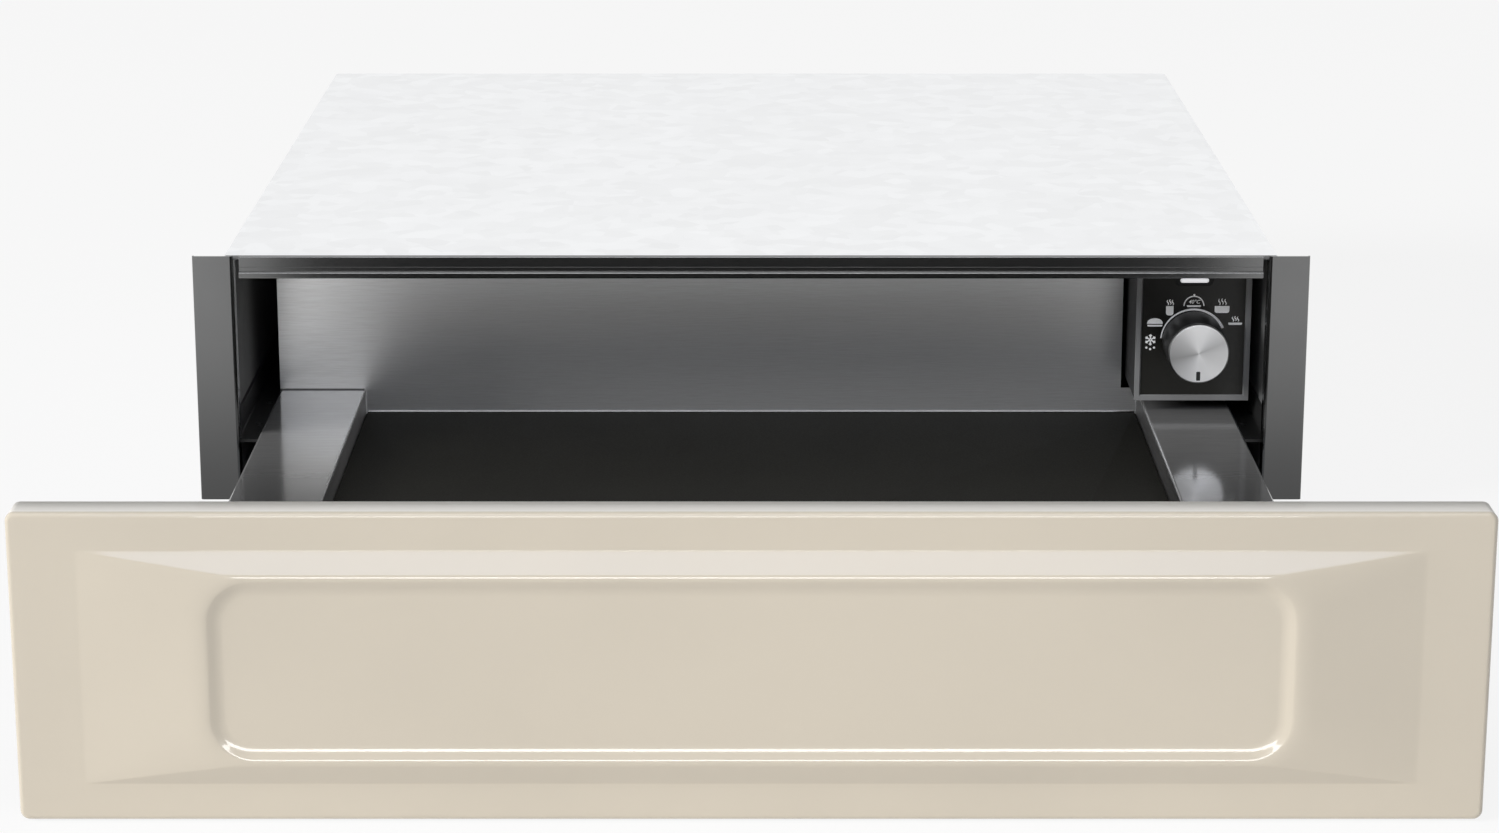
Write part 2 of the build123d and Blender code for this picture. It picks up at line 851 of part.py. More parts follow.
def make_indicator_lens():
    """The clear bar that lights up while the drawer heats."""
    with BuildPart() as indicator_lens:
        with BuildSketch(Plane.XZ.offset(-box_front)):
            with Locations((control_x, lamp_z)):
                SlotOverall(lamp_width, lamp_height)
        extrude(amount=box_front - fascia_front + lamp_proud)
        fillet(indicator_lens.faces().sort_by(Axis.Y)[0].edges(), lamp_proud)
    return indicator_lens


def make_lamp_board():
    """The small board behind the lens, with its two lamps and the pegs that hold it."""
    board_y = (box_front + board_gap, box_front + board_gap + board_thickness)
    with BuildPart() as lamp_board:
        board_x = (control_x - lamp_width, control_x + lamp_width)
        slab(board_x, board_y, (lamp_z - board_half_height, lamp_z + board_half_height))
        lit_z = (lamp_z - board_lamp_half, lamp_z + board_lamp_half)
        for x in (control_x - lamp_width / 4, control_x + lamp_width / 4):
            slab((x - board_lamp_half, x + board_lamp_half), (box_front + running_gap, board_y[0]), lit_z)
        for x in (board_x[0] + peg_inset, board_x[1] - peg_inset):
            rod((x, fascia_back, lamp_z), peg_radius, board_y[0] - fascia_back)
    return lamp_board


def make_thermostat():
    """The thermostat behind the fascia, with the bore that its spindle turns in."""
    front = box_front + thermostat_gap
    half_x, half_z = thermostat_width / 2, thermostat_height / 2
    strap_half = half_x + strap_reach
    strap_z = (knob_z - 2 * spindle_radius, knob_z + 2 * spindle_radius)
    with BuildPart() as thermostat:
        body_x, body_z = (control_x - half_x, control_x + half_x), (knob_z - half_z, knob_z + half_z)
        slab(body_x, (front, front + thermostat_depth), body_z)
        rod((control_x, box_front, knob_z), 2 * spindle_radius, thermostat_gap)
        strap_y = (box_front, box_front + strap_thickness)
        slab((control_x - strap_half, control_x + strap_half), strap_y, strap_z)
        rod((control_x, box_front, knob_z), spindle_radius + spindle_fit, thermostat_bore, mode=Mode.SUBTRACT)
    return thermostat


def make_thermostat_spindle():
    """The spindle that the knob turns."""
    start = box_front - knob_length / 2
    with BuildPart() as thermostat_spindle:
        rod((control_x, start, knob_z), spindle_radius, box_front + spindle_reach - start)
    return thermostat_spindle


def make_knob_skirt():
    """The black body of the knob."""
    back = Plane(origin=(control_x, knob_back, knob_z), x_dir=(1, 0, 0), z_dir=(0, -1, 0))
    with BuildPart() as knob_skirt:
        with BuildSketch(back):
            Circle(knob_radius)
        with BuildSketch(back.offset(knob_back - cap_back)):
            Circle(knob_radius - knob_taper)
        loft()
        bore_start = (control_x, box_front - knob_length / 2, knob_z)
        rod(bore_start, spindle_radius, knob_length, mode=Mode.SUBTRACT)
    return knob_skirt


def make_knob_cap():
    """The spun aluminium face of the knob, with the slot for its pointer."""
    pointer = make_knob_pointer().part
    with BuildPart() as knob_cap:
        rod((control_x, knob_front, knob_z), cap_radius, cap_thickness)
        fillet(knob_cap.edges().filter_by(GeomType.CIRCLE).sort_by(Axis.Y)[0], cap_round)
        add(pointer, mode=Mode.SUBTRACT)
    return knob_cap


def make_knob_pointer():
    """The dark inlay that points at the setting."""
    middle = (control_x, knob_front, knob_z - cap_radius + pointer_edge + pointer_length / 2)
    with BuildPart() as knob_pointer:
        with BuildSketch(Plane(origin=middle, x_dir=(1, 0, 0), z_dir=(0, 1, 0))):
            RectangleRounded(pointer_width, pointer_length, pointer_round)
        extrude(amount=pointer_depth)
    return knob_pointer


# Heater and fan


def make_air_baffle():
    """The partition in front of the fan, with its intake slots below the drawer."""
    wall_y = (baffle_y, baffle_y + sheet)
    flange_y = (baffle_y, baffle_y + baffle_flange)
    across = (-side_inner, side_inner)
    with BuildPart() as air_baffle:
        slab(across, wall_y, (sheet, baffle_top))
        slab(across, flange_y, (sheet, 2 * sheet))
        slab(across, flange_y, (baffle_top - sheet, baffle_top))
        with BuildSketch(Plane.XZ.offset(-wall_y[1])):
            with Locations((0, slot_bottom + slot_height / 2)):
                with GridLocations(slot_pitch, 1, slot_count, 1):
                    SlotOverall(slot_height, slot_width, rotation=90)
        extrude(amount=2 * sheet, mode=Mode.SUBTRACT)
    return air_baffle


def make_fan_motor():
    """The flat motor on the rear panel, with its lugs and the bore of its bearing."""
    back = casing_depth - sheet
    reach = motor_width / 2 - lug_radius
    with BuildPart() as fan_motor:
        slab((-reach, reach), (back - motor_depth, back), (fan_z - reach, fan_z + reach))
        for x in (-reach, reach):
            for z in (fan_z - reach, fan_z + reach):
                rod((x, back - motor_depth / 2, z), lug_radius, motor_depth / 2)
        for place in motor_screw_places():
            screw_hole(*place)
        rod((0, back - motor_depth, fan_z), shaft_radius + shaft_fit, motor_depth, mode=Mode.SUBTRACT)
    return fan_motor


def make_motor_coil():
    """The winding on its bobbin, on top of the motor."""
    back = casing_depth - sheet
    reach = motor_width / 2 - lug_radius
    with BuildPart() as motor_coil:
        z = (fan_z + reach, fan_z + reach + coil_height)
        slab((-coil_width / 2, coil_width / 2), (back - motor_depth, back), z)
        fillet(motor_coil.edges().filter_by(Axis.X), coil_round)
    return motor_coil


def make_fan_rotor():
    """The wheel: a back plate, a ring of blades, its front ring, the hub and the shaft."""
    plate_y = casing_depth - sheet - motor_depth - rotor_gap
    front = plate_y - fan_width
    hub_front = front + fan_hub_setback
    with BuildPart() as fan_rotor:
        rod((0, plate_y - sheet, fan_z), fan_radius, sheet)
        rod((0, hub_front, fan_z), fan_hub_radius, plate_y - hub_front)
        with BuildSketch(Plane.XZ.offset(-(plate_y - sheet))):
            with Locations((0, fan_z)):
                with PolarLocations((fan_radius + blade_inner_radius) / 2, fan_blades):
                    Rectangle(fan_radius - blade_inner_radius, blade_thickness, rotation=blade_lean)
        extrude(amount=fan_width - sheet)
        with BuildSketch(Plane.XZ.offset(-(front + sheet))):
            with Locations((0, fan_z)):
                Circle(fan_radius)
                Circle(fan_radius - fan_ring_width, mode=Mode.SUBTRACT)
        extrude(amount=sheet)
        rod((0, plate_y - sheet, fan_z), shaft_radius, motor_depth - 2 * sheet)
    return fan_rotor


def make_heating_element():
    """The tubular heater: two runs and a half turn, with a blade at each cold end."""
    end = heater_half_length + heater_cold_end
    with BuildPart() as heating_element:
        with BuildLine(Plane.XZ.offset(-heater_y)) as path:
            lower = Line((end, heater_z), (-heater_half_length, heater_z))
            turn = RadiusArc(lower @ 1, (-heater_half_length, heater_z + heater_pitch), heater_bend)
            Line(turn @ 1, (end, heater_z + heater_pitch))
        with BuildSketch(Plane(origin=(end, heater_y, heater_z), z_dir=(-1, 0, 0))):
            Circle(heater_radius)
        sweep(path=path.wire())
        tab_y = (heater_y - tab_thickness / 2, heater_y + tab_thickness / 2)
        for z in (heater_z, heater_z + heater_pitch):
            slab((end, end + tab_length), tab_y, (z - tab_width / 2, z + tab_width / 2))
    return heating_element


def make_heater_bracket(x):
    """A hanger from the rear panel that both runs of the heater pass through."""
    span = (heater_z - hanger_margin, heater_z + heater_pitch + hanger_margin)
    back = casing_depth - sheet
    with BuildPart() as heater_bracket:
        slab((x - sheet / 2, x + sheet / 2), (heater_y - hanger_margin, back), span)
        slab((x - sheet / 2, x + hanger_foot), (back - sheet, back), span)
        for z in (heater_z, heater_z + heater_pitch):
            rod((x - sheet, heater_y, z), heater_radius + screw_fit, 2 * sheet, Axis.X, Mode.SUBTRACT)
    return heater_bracket.part


def make_heater_brackets():
    """The two hangers."""
    hangers = [make_heater_bracket(x) for x in (heater_half_length, heater_bend - heater_half_length)]
    with BuildPart() as heater_brackets:
        add(hangers)
    return heater_brackets


def make_thermal_cutout():
    """The safety cut-out on the back of the baffle."""
    start = baffle_y + sheet
    middle_z = baffle_top - cutout_drop
    half_x, half_z = cutout_plate_width / 2, cutout_plate_height / 2
    tab_y = (start + sheet + cutout_height, start + sheet + cutout_height + cutout_tab_length)
    tab_z = (middle_z - cutout_tab_width / 2, middle_z + cutout_tab_width / 2)
    with BuildPart() as thermal_cutout:
        plate_x, plate_z = (cutout_x - half_x, cutout_x + half_x), (middle_z - half_z, middle_z + half_z)
        slab(plate_x, (start, start + sheet), plate_z)
        rod((cutout_x, start + sheet, middle_z), cutout_radius, cutout_height)
        for x in (cutout_x - cutout_tab_spacing / 2, cutout_x + cutout_tab_spacing / 2):
            slab((x - tab_thickness / 2, x + tab_thickness / 2), tab_y, tab_z)
    return thermal_cutout


# Mains entry and wiring


def make_mains_gland():
    """The strain relief where the mains lead enters, with its nut inside."""
    back = casing_depth
    with BuildPart() as mains_gland:
        rod((gland_x, back - sheet - gland_nut, gland_z), gland_thread_radius, gland_nut + sheet + gland_head)
        rod((gland_x, back, gland_z), gland_head_radius, gland_head)
        with BuildSketch(Plane.XZ.offset(-(back - sheet))):
            with Locations((gland_x, gland_z)):
                RegularPolygon(gland_head_radius, 6)
        extrude(amount=gland_nut)
        fillet(mains_gland.edges().filter_by(GeomType.CIRCLE).sort_by(Axis.Y)[-1], gland_round)
        bore_length = gland_nut + sheet + gland_head
        rod((gland_x, back - sheet - gland_nut, gland_z), gland_bore_radius, bore_length, mode=Mode.SUBTRACT)
    return mains_gland


def make_terminal_block():
    """The block where the mains lead and the inner wiring meet."""
    top = loom_z - loom_drop
    front = casing_depth - sheet - terminal_depth
    with BuildPart() as terminal_block:
        x = (loom_x - terminal_width / 4, loom_x + terminal_width * 3 / 4)
        slab(x, (front, casing_depth - sheet), (top - terminal_height, top))
        for number in range(terminal_count):
            screw_x = x[0] + terminal_inset + terminal_pitch * number
            rod((screw_x, front - sheet, top - terminal_screw_drop), terminal_screw_radius, 2 * sheet)
    return terminal_block


def loom_points():
    """The loom's corners, from the control box to the terminal block."""
    rear_y = casing_depth - sheet - loom_back_gap
    start_y = box_front + box_depth - box_wall
    return [(loom_x, start_y, loom_z), (loom_x, rear_y, loom_z), (loom_x, rear_y, loom_z - loom_drop)]


def make_wiring_loom():
    """The sleeved wiring along the cover."""
    points = loom_points()
    with BuildPart() as wiring_loom:
        with BuildLine() as path:
            FilletPolyline(*points, radius=loom_bend)
        with BuildSketch(Plane(origin=points[0], z_dir=(0, 1, 0))):
            Circle(loom_radius)
        sweep(path=path.wire())
    return wiring_loom


def make_loom_clips():
    """The clips that hold the loom under the cover."""
    start, end = loom_points()[0][1], loom_points()[1][1]
    with BuildPart() as loom_clips:
        for share in (0.15, 0.5, 0.85):
            y = start + share * (end - start)
            clip_y = (y - clip_width / 2, y + clip_width / 2)
            half = loom_radius + sheet
            slab((loom_x - half, loom_x + half), clip_y, (loom_z - half, cover_under))
            rod((loom_x, clip_y[0], loom_z), loom_radius + ball_fit, clip_width, mode=Mode.SUBTRACT)
    return loom_clips


# Push latch


def make_latch_body():
    """The housing of the push latch on the casing's floor."""
    front = latch_tip + plunger_reach
    with BuildPart() as latch_body:
        body_z = (sheet, sheet + latch_height)
        slab((-latch_width / 2, latch_width / 2), (front, front + latch_length), body_z)
        fillet(latch_body.edges().filter_by(Axis.Y).group_by(Axis.Z)[-1], latch_round)
        bore = plunger_radius + plunger_fit
        rod((0, front, latch_z), bore, latch_length - latch_end_wall, mode=Mode.SUBTRACT)
    return latch_body


def make_latch_plunger():
    """The sprung plunger, whose tip the striker pushes."""
    length = plunger_reach + latch_length - latch_end_wall - plunger_stroke - plunger_round
    with BuildPart() as latch_plunger:
        rod((0, latch_tip, latch_z), plunger_radius, length)
        fillet(latch_plunger.edges().filter_by(GeomType.CIRCLE).sort_by(Axis.Y)[0], plunger_round)
    return latch_plunger


def make_latch_striker():
    """The angle under the tray that meets the latch."""
    leg_y = striker_back - striker_wall / 2
    top = floor_under - striker_wall / 2
    points = [(leg_y - striker_foot, top), (leg_y, top), (leg_y, sheet + striker_floor_gap)]
    with BuildPart() as latch_striker:
        with BuildSketch(Plane.YZ.offset(-striker_width / 2)):
            add(sheet_profile(points, striker_wall, striker_wall))
        extrude(amount=striker_width)
    return latch_striker


# Screws


def make_screws(places, length):
    """A group of like screws."""
    with BuildPart() as screws:
        for place in places:
            screw(*place, length)
    return screws


def both_sides(places):
    """The places of the left side and then those of the right."""
    return places(LEFT) + places(RIGHT)


def all_casing_screws(side):
    """The flange screws of one side and its rear-panel screws."""
    flanges, rear = casing_screw_places(side)
    return flanges + rear


def save(piece, name):
    """Label a finished piece and write it to its own file."""
    piece.part.label = name
    export_step(piece.part, f"parts/{name}.step")


save(make_base_pan(), "base_pan")
save(make_top_cover(), "top_cover")
save(make_rear_panel(), "rear_panel")
save(make_air_baffle(), "air_baffle")
save(make_top_bar(), "top_bar")
save(make_front_panel(), "front_panel")
save(make_front_liner(), "front_liner")
save(make_tray(), "tray")
save(make_drawer_back(), "drawer_back")
save(make_tray_mat(), "tray_mat")
for side, side_name in SIDES:
    save(make_side_panel(side), f"side_panel_{side_name}")
    save(make_post(side), f"post_{side_name}")
    save(make_rail_carrier(side), f"rail_carrier_{side_name}")
    save(make_rail_outer(side), f"rail_outer_{side_name}")
    save(make_rail_middle(side), f"rail_middle_{side_name}")
    save(make_rail_inner(side), f"rail_inner_{side_name}")
    save(make_outer_cage(side), f"outer_ball_cage_{side_name}")
    save(make_inner_cage(side), f"inner_ball_cage_{side_name}")
    save(make_tray_runner(side), f"tray_runner_{side_name}")
    save(make_front_bracket(side), f"front_bracket_{side_name}")
    save(make_front_stiffener(side), f"front_stiffener_{side_name}")
save(make_control_box(), "control_box")
save(make_control_bezel(), "control_bezel")
save(make_control_fascia(), "control_fascia")
save(make_indicator_lens(), "indicator_lens")
save(make_lamp_board(), "lamp_board")
save(make_thermostat(), "thermostat")
save(make_thermostat_spindle(), "thermostat_spindle")
save(make_knob_skirt(), "knob_skirt")
save(make_knob_cap(), "knob_cap")
save(make_knob_pointer(), "knob_pointer")
save(make_fan_motor(), "fan_motor")
save(make_motor_coil(), "motor_coil")
save(make_fan_rotor(), "fan_rotor")
save(make_heating_element(), "heating_element")
save(make_heater_brackets(), "heater_brackets")
save(make_thermal_cutout(), "thermal_cutout")
save(make_mains_gland(), "mains_gland")
save(make_terminal_block(), "terminal_block")
save(make_wiring_loom(), "wiring_loom")
save(make_loom_clips(), "loom_clips")
save(make_latch_body(), "latch_body")
save(make_latch_plunger(), "latch_plunger")
save(make_latch_striker(), "latch_striker")
save(make_screws(both_sides(all_casing_screws), screw_length), "casing_screws")
save(make_screws(both_sides(carrier_screw_places), bracket_wall + outer_wall), "carrier_screws")
save(make_screws(both_sides(runner_screw_places), bracket_wall + middle_wall), "runner_screws")
save(make_screws(both_sides(front_screw_places), screw_length), "front_screws")
save(make_screws(motor_screw_places(), screw_length), "motor_screws")
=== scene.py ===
"""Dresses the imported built-in warming drawer and sets it in a plain studio.

The frame holds every rigid part at its real size. This file gives each of them its finish, and it
replaces the pieces whose shape wants more than a machined solid: the enamelled front, the mat, the
knob and all the screws. It also prints the dial and rings the lamp's lens.

Sizes are in millimetres unless a name says otherwise. X runs to the right, Y to the back, Z up.
"""

import logging
import math
from collections.abc import Mapping, Sequence
from dataclasses import dataclass
from enum import Enum
from functools import cache
from typing import ClassVar

import bmesh
import bpy
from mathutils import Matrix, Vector


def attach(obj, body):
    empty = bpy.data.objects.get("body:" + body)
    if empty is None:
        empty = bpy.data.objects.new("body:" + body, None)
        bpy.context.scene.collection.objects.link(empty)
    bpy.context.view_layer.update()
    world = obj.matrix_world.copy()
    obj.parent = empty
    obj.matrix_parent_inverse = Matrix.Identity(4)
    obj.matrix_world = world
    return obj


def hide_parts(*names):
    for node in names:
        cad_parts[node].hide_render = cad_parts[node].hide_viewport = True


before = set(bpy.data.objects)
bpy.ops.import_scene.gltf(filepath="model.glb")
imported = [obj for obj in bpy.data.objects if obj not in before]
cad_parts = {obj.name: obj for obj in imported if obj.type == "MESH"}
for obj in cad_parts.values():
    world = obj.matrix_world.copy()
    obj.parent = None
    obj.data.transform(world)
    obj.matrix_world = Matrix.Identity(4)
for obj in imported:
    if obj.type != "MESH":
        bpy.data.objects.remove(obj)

LOG = logging.getLogger("warming_drawer")
MM = 0.001
SIDES = {"left": -1, "right": 1}
WELD = 1e-5
CORNERS = ((1, -1), (1, 1), (-1, 1), (-1, -1))
CORNER_STEPS = 14
UPRIGHT_STEPS = 14
LEVEL_STEPS = 56

Colour = tuple[float, float, float]
Flat = tuple[float, float]
Point = tuple[float, float, float]


def grey(value: float) -> Colour:
    """A neutral colour."""
    return (value, value, value)


def scaled(colour: Colour, factor: float) -> Colour:
    """A colour made lighter or darker by a factor."""
    return tuple(min(1.0, channel * factor) for channel in colour)


# Shader maths


class Value:
    """A socket in a graph that takes part in Python sums.

    Args:
        graph: The node graph.
        socket: The output socket that carries the value.
    """

    PATCHES: ClassVar[Flat] = (0.3, 0.7)

    def __init__(self, graph: "Graph", socket: bpy.types.NodeSocket) -> None:
        """Wrap a socket."""
        self.graph = graph
        self.socket = socket

    def _math(self, operation: str, *terms: "Value | float") -> "Value":
        """Add one Math node."""
        return self.graph.node("ShaderNodeMath", {"operation": operation}, dict(enumerate(terms)))

    def __add__(self, other: "Value | float") -> "Value":
        """Return self + other."""
        return self._math("ADD", self, other)

    def __radd__(self, other: float) -> "Value":
        """Return other + self."""
        return self._math("ADD", other, self)

    def __sub__(self, other: "Value | float") -> "Value":
        """Return self - other."""
        return self._math("SUBTRACT", self, other)

    def __rsub__(self, other: float) -> "Value":
        """Return other - self."""
        return self._math("SUBTRACT", other, self)

    def __mul__(self, other: "Value | float") -> "Value":
        """Return self * other."""
        return self._math("MULTIPLY", self, other)

    def __rmul__(self, other: float) -> "Value":
        """Return other * self."""
        return self._math("MULTIPLY", other, self)

    def __truediv__(self, other: "Value | float") -> "Value":
        """Return self / other."""
        return self._math("DIVIDE", self, other)

    def __pow__(self, other: "Value | float") -> "Value":
        """Return self ** other."""
        return self._math("POWER", self, other)

    def __abs__(self) -> "Value":
        """Return abs(self)."""
        return self._math("ABSOLUTE", self)

    def sine(self) -> "Value":
        """Return the sine of this value, in radians."""
        return self._math("SINE", self)

    def above(self, limit: float) -> "Value":
        """Return 1 where this value passes the limit and 0 elsewhere."""
        return self._math("GREATER_THAN", self, limit)

    def spread(self, low: float, high: float, start: float = 0.0, end: float = 1.0) -> "Value":
        """Map low..high smoothly on to start..end.

        Args:
            low: The value that gives start.
            high: The value that gives end.
            start: The result at and below low.
            end: The result at and above high.

        Returns:
            The mapped value.
        """
        limits = {"From Min": low, "From Max": high, "To Min": start, "To Max": end}
        settings = {"interpolation_type": "SMOOTHSTEP"}
        return self.graph.node("ShaderNodeMapRange", settings, {"Value": self, **limits})

    def patches(self, start: float = 0.0, end: float = 1.0) -> "Value":
        """Map a noise on to start..end, so that it leaves clear patches."""
        return self.spread(*self.PATCHES, start, end)

    def swung(self, middle: float, swing: Flat) -> "Value":
        """Let a noise swing a number, by what swing gives for its low end and for its high end."""
        return self.patches(middle + swing[0], middle + swing[1])

    def output(self, name: str) -> "Value":
        """Return another output of the node behind this value."""
        return Value(self.graph, self.socket.node.outputs[name])


class Graph:
    """The node graph of one material or world.

    Args:
        holder: The material or the world.
    """

    def __init__(self, holder: bpy.types.Material | bpy.types.World) -> None:
        """Start with an empty graph."""
        self.holder = holder
        holder.use_nodes = True
        self.tree = holder.node_tree
        self.tree.nodes.clear()

    def node(
        self,
        kind: str,
        settings: Mapping[str, object] | None = None,
        inputs: Mapping[str | int, object] | None = None,
        output: str | int = 0,
    ) -> Value:
        """Add a node.

        Args:
            kind: The node's type.
            settings: The node's own properties; "stops" lists a ramp's places and colours.
            inputs: A number, colour or Value for each input, by name or index.
            output: The output to return.

        Returns:
            The chosen output.
        """
        node = self.tree.nodes.new(kind)
        for name, setting in (settings or {}).items():
            if name == "stops":
                self._set_stops(node.color_ramp, setting)
            else:
                setattr(node, name, setting)
        self._feed(node, inputs or {})
        return Value(self, node.outputs[output])

    def _feed(self, node: bpy.types.Node, inputs: Mapping[str | int, object]) -> None:
        """Set or link a node's inputs.

        Args:
            node: The node.
            inputs: A number, colour or Value for each input, by name or index.
        """
        for key, value in inputs.items():
            socket = node.inputs[key]
            if isinstance(value, Value):
                self.tree.links.new(value.socket, socket)
            elif socket.type == "RGBA" and len(value) == 3:
                socket.default_value = (*value, 1.0)
            else:
                socket.default_value = value

    @staticmethod
    def _set_stops(ramp: bpy.types.ColorRamp, stops: Sequence[tuple[float, Colour]]) -> None:
        """Give a ramp its stops.

        Args:
            ramp: The ramp.
            stops: The place and the colour of each stop, in order.
        """
        while len(ramp.elements) < len(stops):
            ramp.elements.new(1.0)
        for element, (place, colour) in zip(ramp.elements, stops):
            element.position = place
            element.color = (*colour, 1.0)

    def place(self, scale: Point = (1.0, 1.0, 1.0), shift: Point = (0.0, 0.0, 0.0)) -> Value:
        """The point on the object.

        Args:
            scale: How much the point is stretched along each axis.
            shift: How far it is moved before that, in metres.

        Returns:
            The point in metres.
        """
        coordinates = self.node("ShaderNodeTexCoord", output="Object")
        moved = self.node("ShaderNodeVectorMath", {"operation": "ADD"}, {0: coordinates, 1: shift})
        return self.node("ShaderNodeVectorMath", {"operation": "MULTIPLY"}, {0: moved, 1: scale})

    def axes(self, vector: Value) -> tuple[Value, Value, Value]:
        """The three parts of a vector."""
        parts = self.node("ShaderNodeSeparateXYZ", inputs={"Vector": vector})
        return parts.output("X"), parts.output("Y"), parts.output("Z")

    def noise(self, vector: Value, scale: float, detail: float = 2.0, rough: float = 0.5) -> Value:
        """Soft noise with the given number of features per metre of vector."""
        inputs = {"Vector": vector, "Scale": scale, "Detail": detail, "Roughness": rough}
        return self.node("ShaderNodeTexNoise", inputs=inputs)

    def cells(self, vector: Value, scale: float) -> Value:
        """Random cells, one colour to each."""
        inputs = {"Vector": vector, "Scale": scale}
        return self.node("ShaderNodeTexVoronoi", inputs=inputs, output="Color")

    def mix(self, factor: Value | float, first: Value | Colour, second: Value | Colour) -> Value:
        """Blend two colours."""
        return self.node("ShaderNodeMix", {"data_type": "RGBA"}, {0: factor, 6: first, 7: second}, 2)

    def ramp(self, factor: Value, stops: Sequence[tuple[float, Colour]]) -> Value:
        """Look a factor up in a ramp of colours."""
        return self.node("ShaderNodeValToRGB", {"stops": stops}, {"Fac": factor})

    def bump(self, height: Value, depth: float) -> Value:
        """A normal from a height of 0 to 1 that stands for a depth in millimetres."""
        inputs = {"Height": height, "Distance": depth * MM, "Strength": 1.0}
        return self.node("ShaderNodeBump", inputs=inputs, output="Normal")

    def seen(self) -> Value:
        """1 where the camera, a mirroring surface or glass looks, and 0 where light falls."""
        path = self.node("ShaderNodeLightPath", output="Is Camera Ray")
        return (path + path.output("Is Glossy Ray") + path.output("Is Transmission Ray")).above(0.5)

    def finish(self, surface: Value) -> bpy.types.Material | bpy.types.World:
        """Show a surface shader.

        Args:
            surface: The shader.

        Returns:
            The material or the world.
        """
        kind = "World" if isinstance(self.holder, bpy.types.World) else "Material"
        self._feed(self.tree.nodes.new(f"ShaderNodeOutput{kind}"), {"Surface": surface})
        return self.holder

    def shade(self, inputs: Mapping[str, object]) -> bpy.types.Material:
        """Finish the graph with a Principled shader and return its material."""
        return self.finish(self.node("ShaderNodeBsdfPrincipled", inputs=inputs))


# Finishes


@dataclass(frozen=True)
class Finish:
    """A surface finish that makes its own material.

    A finish with patches has tones, which are factors of its colour, and a swing of its roughness.
    """

    tones: ClassVar[Flat] = (1.0, 1.0)
    swing: ClassVar[Flat] = (0.0, 0.0)

    name: str
    colour: Colour

    def paint(self, graph: Graph) -> dict[str, object]:
        """The Principled shader's inputs for this finish."""
        raise NotImplementedError

    def tinted(self, graph: Graph, factor: Value, light: float = 1.0) -> Value:
        """The colour in a painted light, from its first tone where the factor is 0 to its second at 1.
        """
        return graph.mix(factor, *(scaled(self.colour, light * tone) for tone in self.tones))

    @cache
    def material(self) -> bpy.types.Material:
        """The finish's material, made on first use."""
        graph = Graph(bpy.data.materials.new(self.name))
        return graph.shade(self.paint(graph))


@dataclass(frozen=True)
class Enamel(Finish):
    """Glossy stoved enamel with a faint orange peel.

    Above rim_top it gives way, over the short way of rim_depth, to a dull primer behind, whose
    pale colour is painted light on the top face.
    """

    tones: ClassVar[Flat] = (0.975, 1.02)
    swing: ClassVar[Flat] = (-0.03, 0.03)

    roughness: float = 0.16
    coat_roughness: float = 0.03
    # The pale colour on the top face is painted light.
    primer_top_light: Colour = (0.93, 0.90, 0.84)
    primer_roughness: float = 0.55
    primer_coat: float = 0.1
    rim_top: float = 131.0
    rim_depth: Flat = (-426.4, -427.4)

    def paint(self, graph: Graph) -> dict[str, object]:
        """Cloudy tint, soft gloss and a clear skin.

        Args:
            graph: The material's graph.

        Returns:
            The Principled shader's inputs.
        """
        place = graph.place()
        _, along, up = graph.axes(place)
        cloud = graph.noise(place, scale=7.0, detail=3.0)
        peel = graph.noise(place, scale=330.0, detail=1.0)
        behind, before = (edge * MM for edge in self.rim_depth)
        # On the top face behind the rounded edge: dull primer, with a pale colour that is painted
        # light.
        primer_and_top_light = along.spread(before, behind) * up.above(self.rim_top * MM)
        gloss = cloud.swung(self.roughness, self.swing)
        return {
            "Base Color": graph.mix(primer_and_top_light, self.tinted(graph, cloud.patches()), self.primer_top_light),
            "Roughness": gloss + primer_and_top_light * (self.primer_roughness - self.roughness),
            "Coat Weight": 1.0 - primer_and_top_light * (1.0 - self.primer_coat),
            "Coat Roughness": self.coat_roughness,
            "Normal": graph.bump(peel, depth=0.0007),
        }


@dataclass(frozen=True)
class PowderCoat(Finish):
    """Baked powder paint with its fine grain."""

    tones: ClassVar[Flat] = (0.9, 1.1)
    swing: ClassVar[Flat] = (-0.05, 0.05)

    roughness: float = 0.42
    grain: float = 0.02

    def paint(self, graph: Graph) -> dict[str, object]:
        """Grainy normal and slightly uneven gloss.

        Args:
            graph: The material's graph.

        Returns:
            The Principled shader's inputs.
        """
        place = graph.place()
        grain = graph.noise(place, scale=1500.0, detail=2.0)
        cloud = graph.noise(place, scale=14.0, detail=3.0)
        return {
            "Base Color": self.tinted(graph, cloud.patches()),
            "Roughness": grain.swung(self.roughness, self.swing),
            "Normal": graph.bump(grain, self.grain),
        }


class Grain(Enum):
    """The way that brushing runs, as the stretch of its noise along each axis."""

    ALONG_X = (70.0, 1500.0, 1500.0)
    ALONG_X_BROAD = (21.0, 450.0, 450.0)
    ALONG_Y = (900.0, 14.0, 900.0)


@dataclass(frozen=True)
class SatinMetal(Finish):
    """Dark anodised metal with a silky gloss, darkened towards its foot by painted shade."""

    tones: ClassVar[Flat] = (0.94, 1.06)
    swing: ClassVar[Flat] = (-0.02, 0.02)

    roughness: float = 0.3
    # The colour's factor at the bottom, where the painted shade is deepest.
    foot: float = 1.0
    height: float = 130.0

    def paint(self, graph: Graph) -> dict[str, object]:
        """A silky grain, slight clouds and the long wave of rolled sheet.

        Args:
            graph: The material's graph.

        Returns:
            The Principled shader's inputs.
        """
        place = graph.place()
        up = graph.axes(place)[2]
        grain = graph.noise(place, scale=1700.0, detail=2.0)
        cloud = graph.noise(place, scale=9.0, detail=3.0)
        wave = graph.noise(place, scale=60.0, detail=1.0)
        # The colour fades from the clouded tint up high to the foot's factor at the bottom: painted
        # shade.
        rise = up.spread(0.0, self.height * MM)
        foot, head = scaled(self.colour, self.foot), self.tinted(graph, cloud.patches())
        return {
            "Base Color": graph.mix(rise, foot, head),
            "Metallic": 1.0,
            "Roughness": grain.swung(self.roughness, self.swing),
            "Normal": graph.bump(wave, depth=0.003),
        }


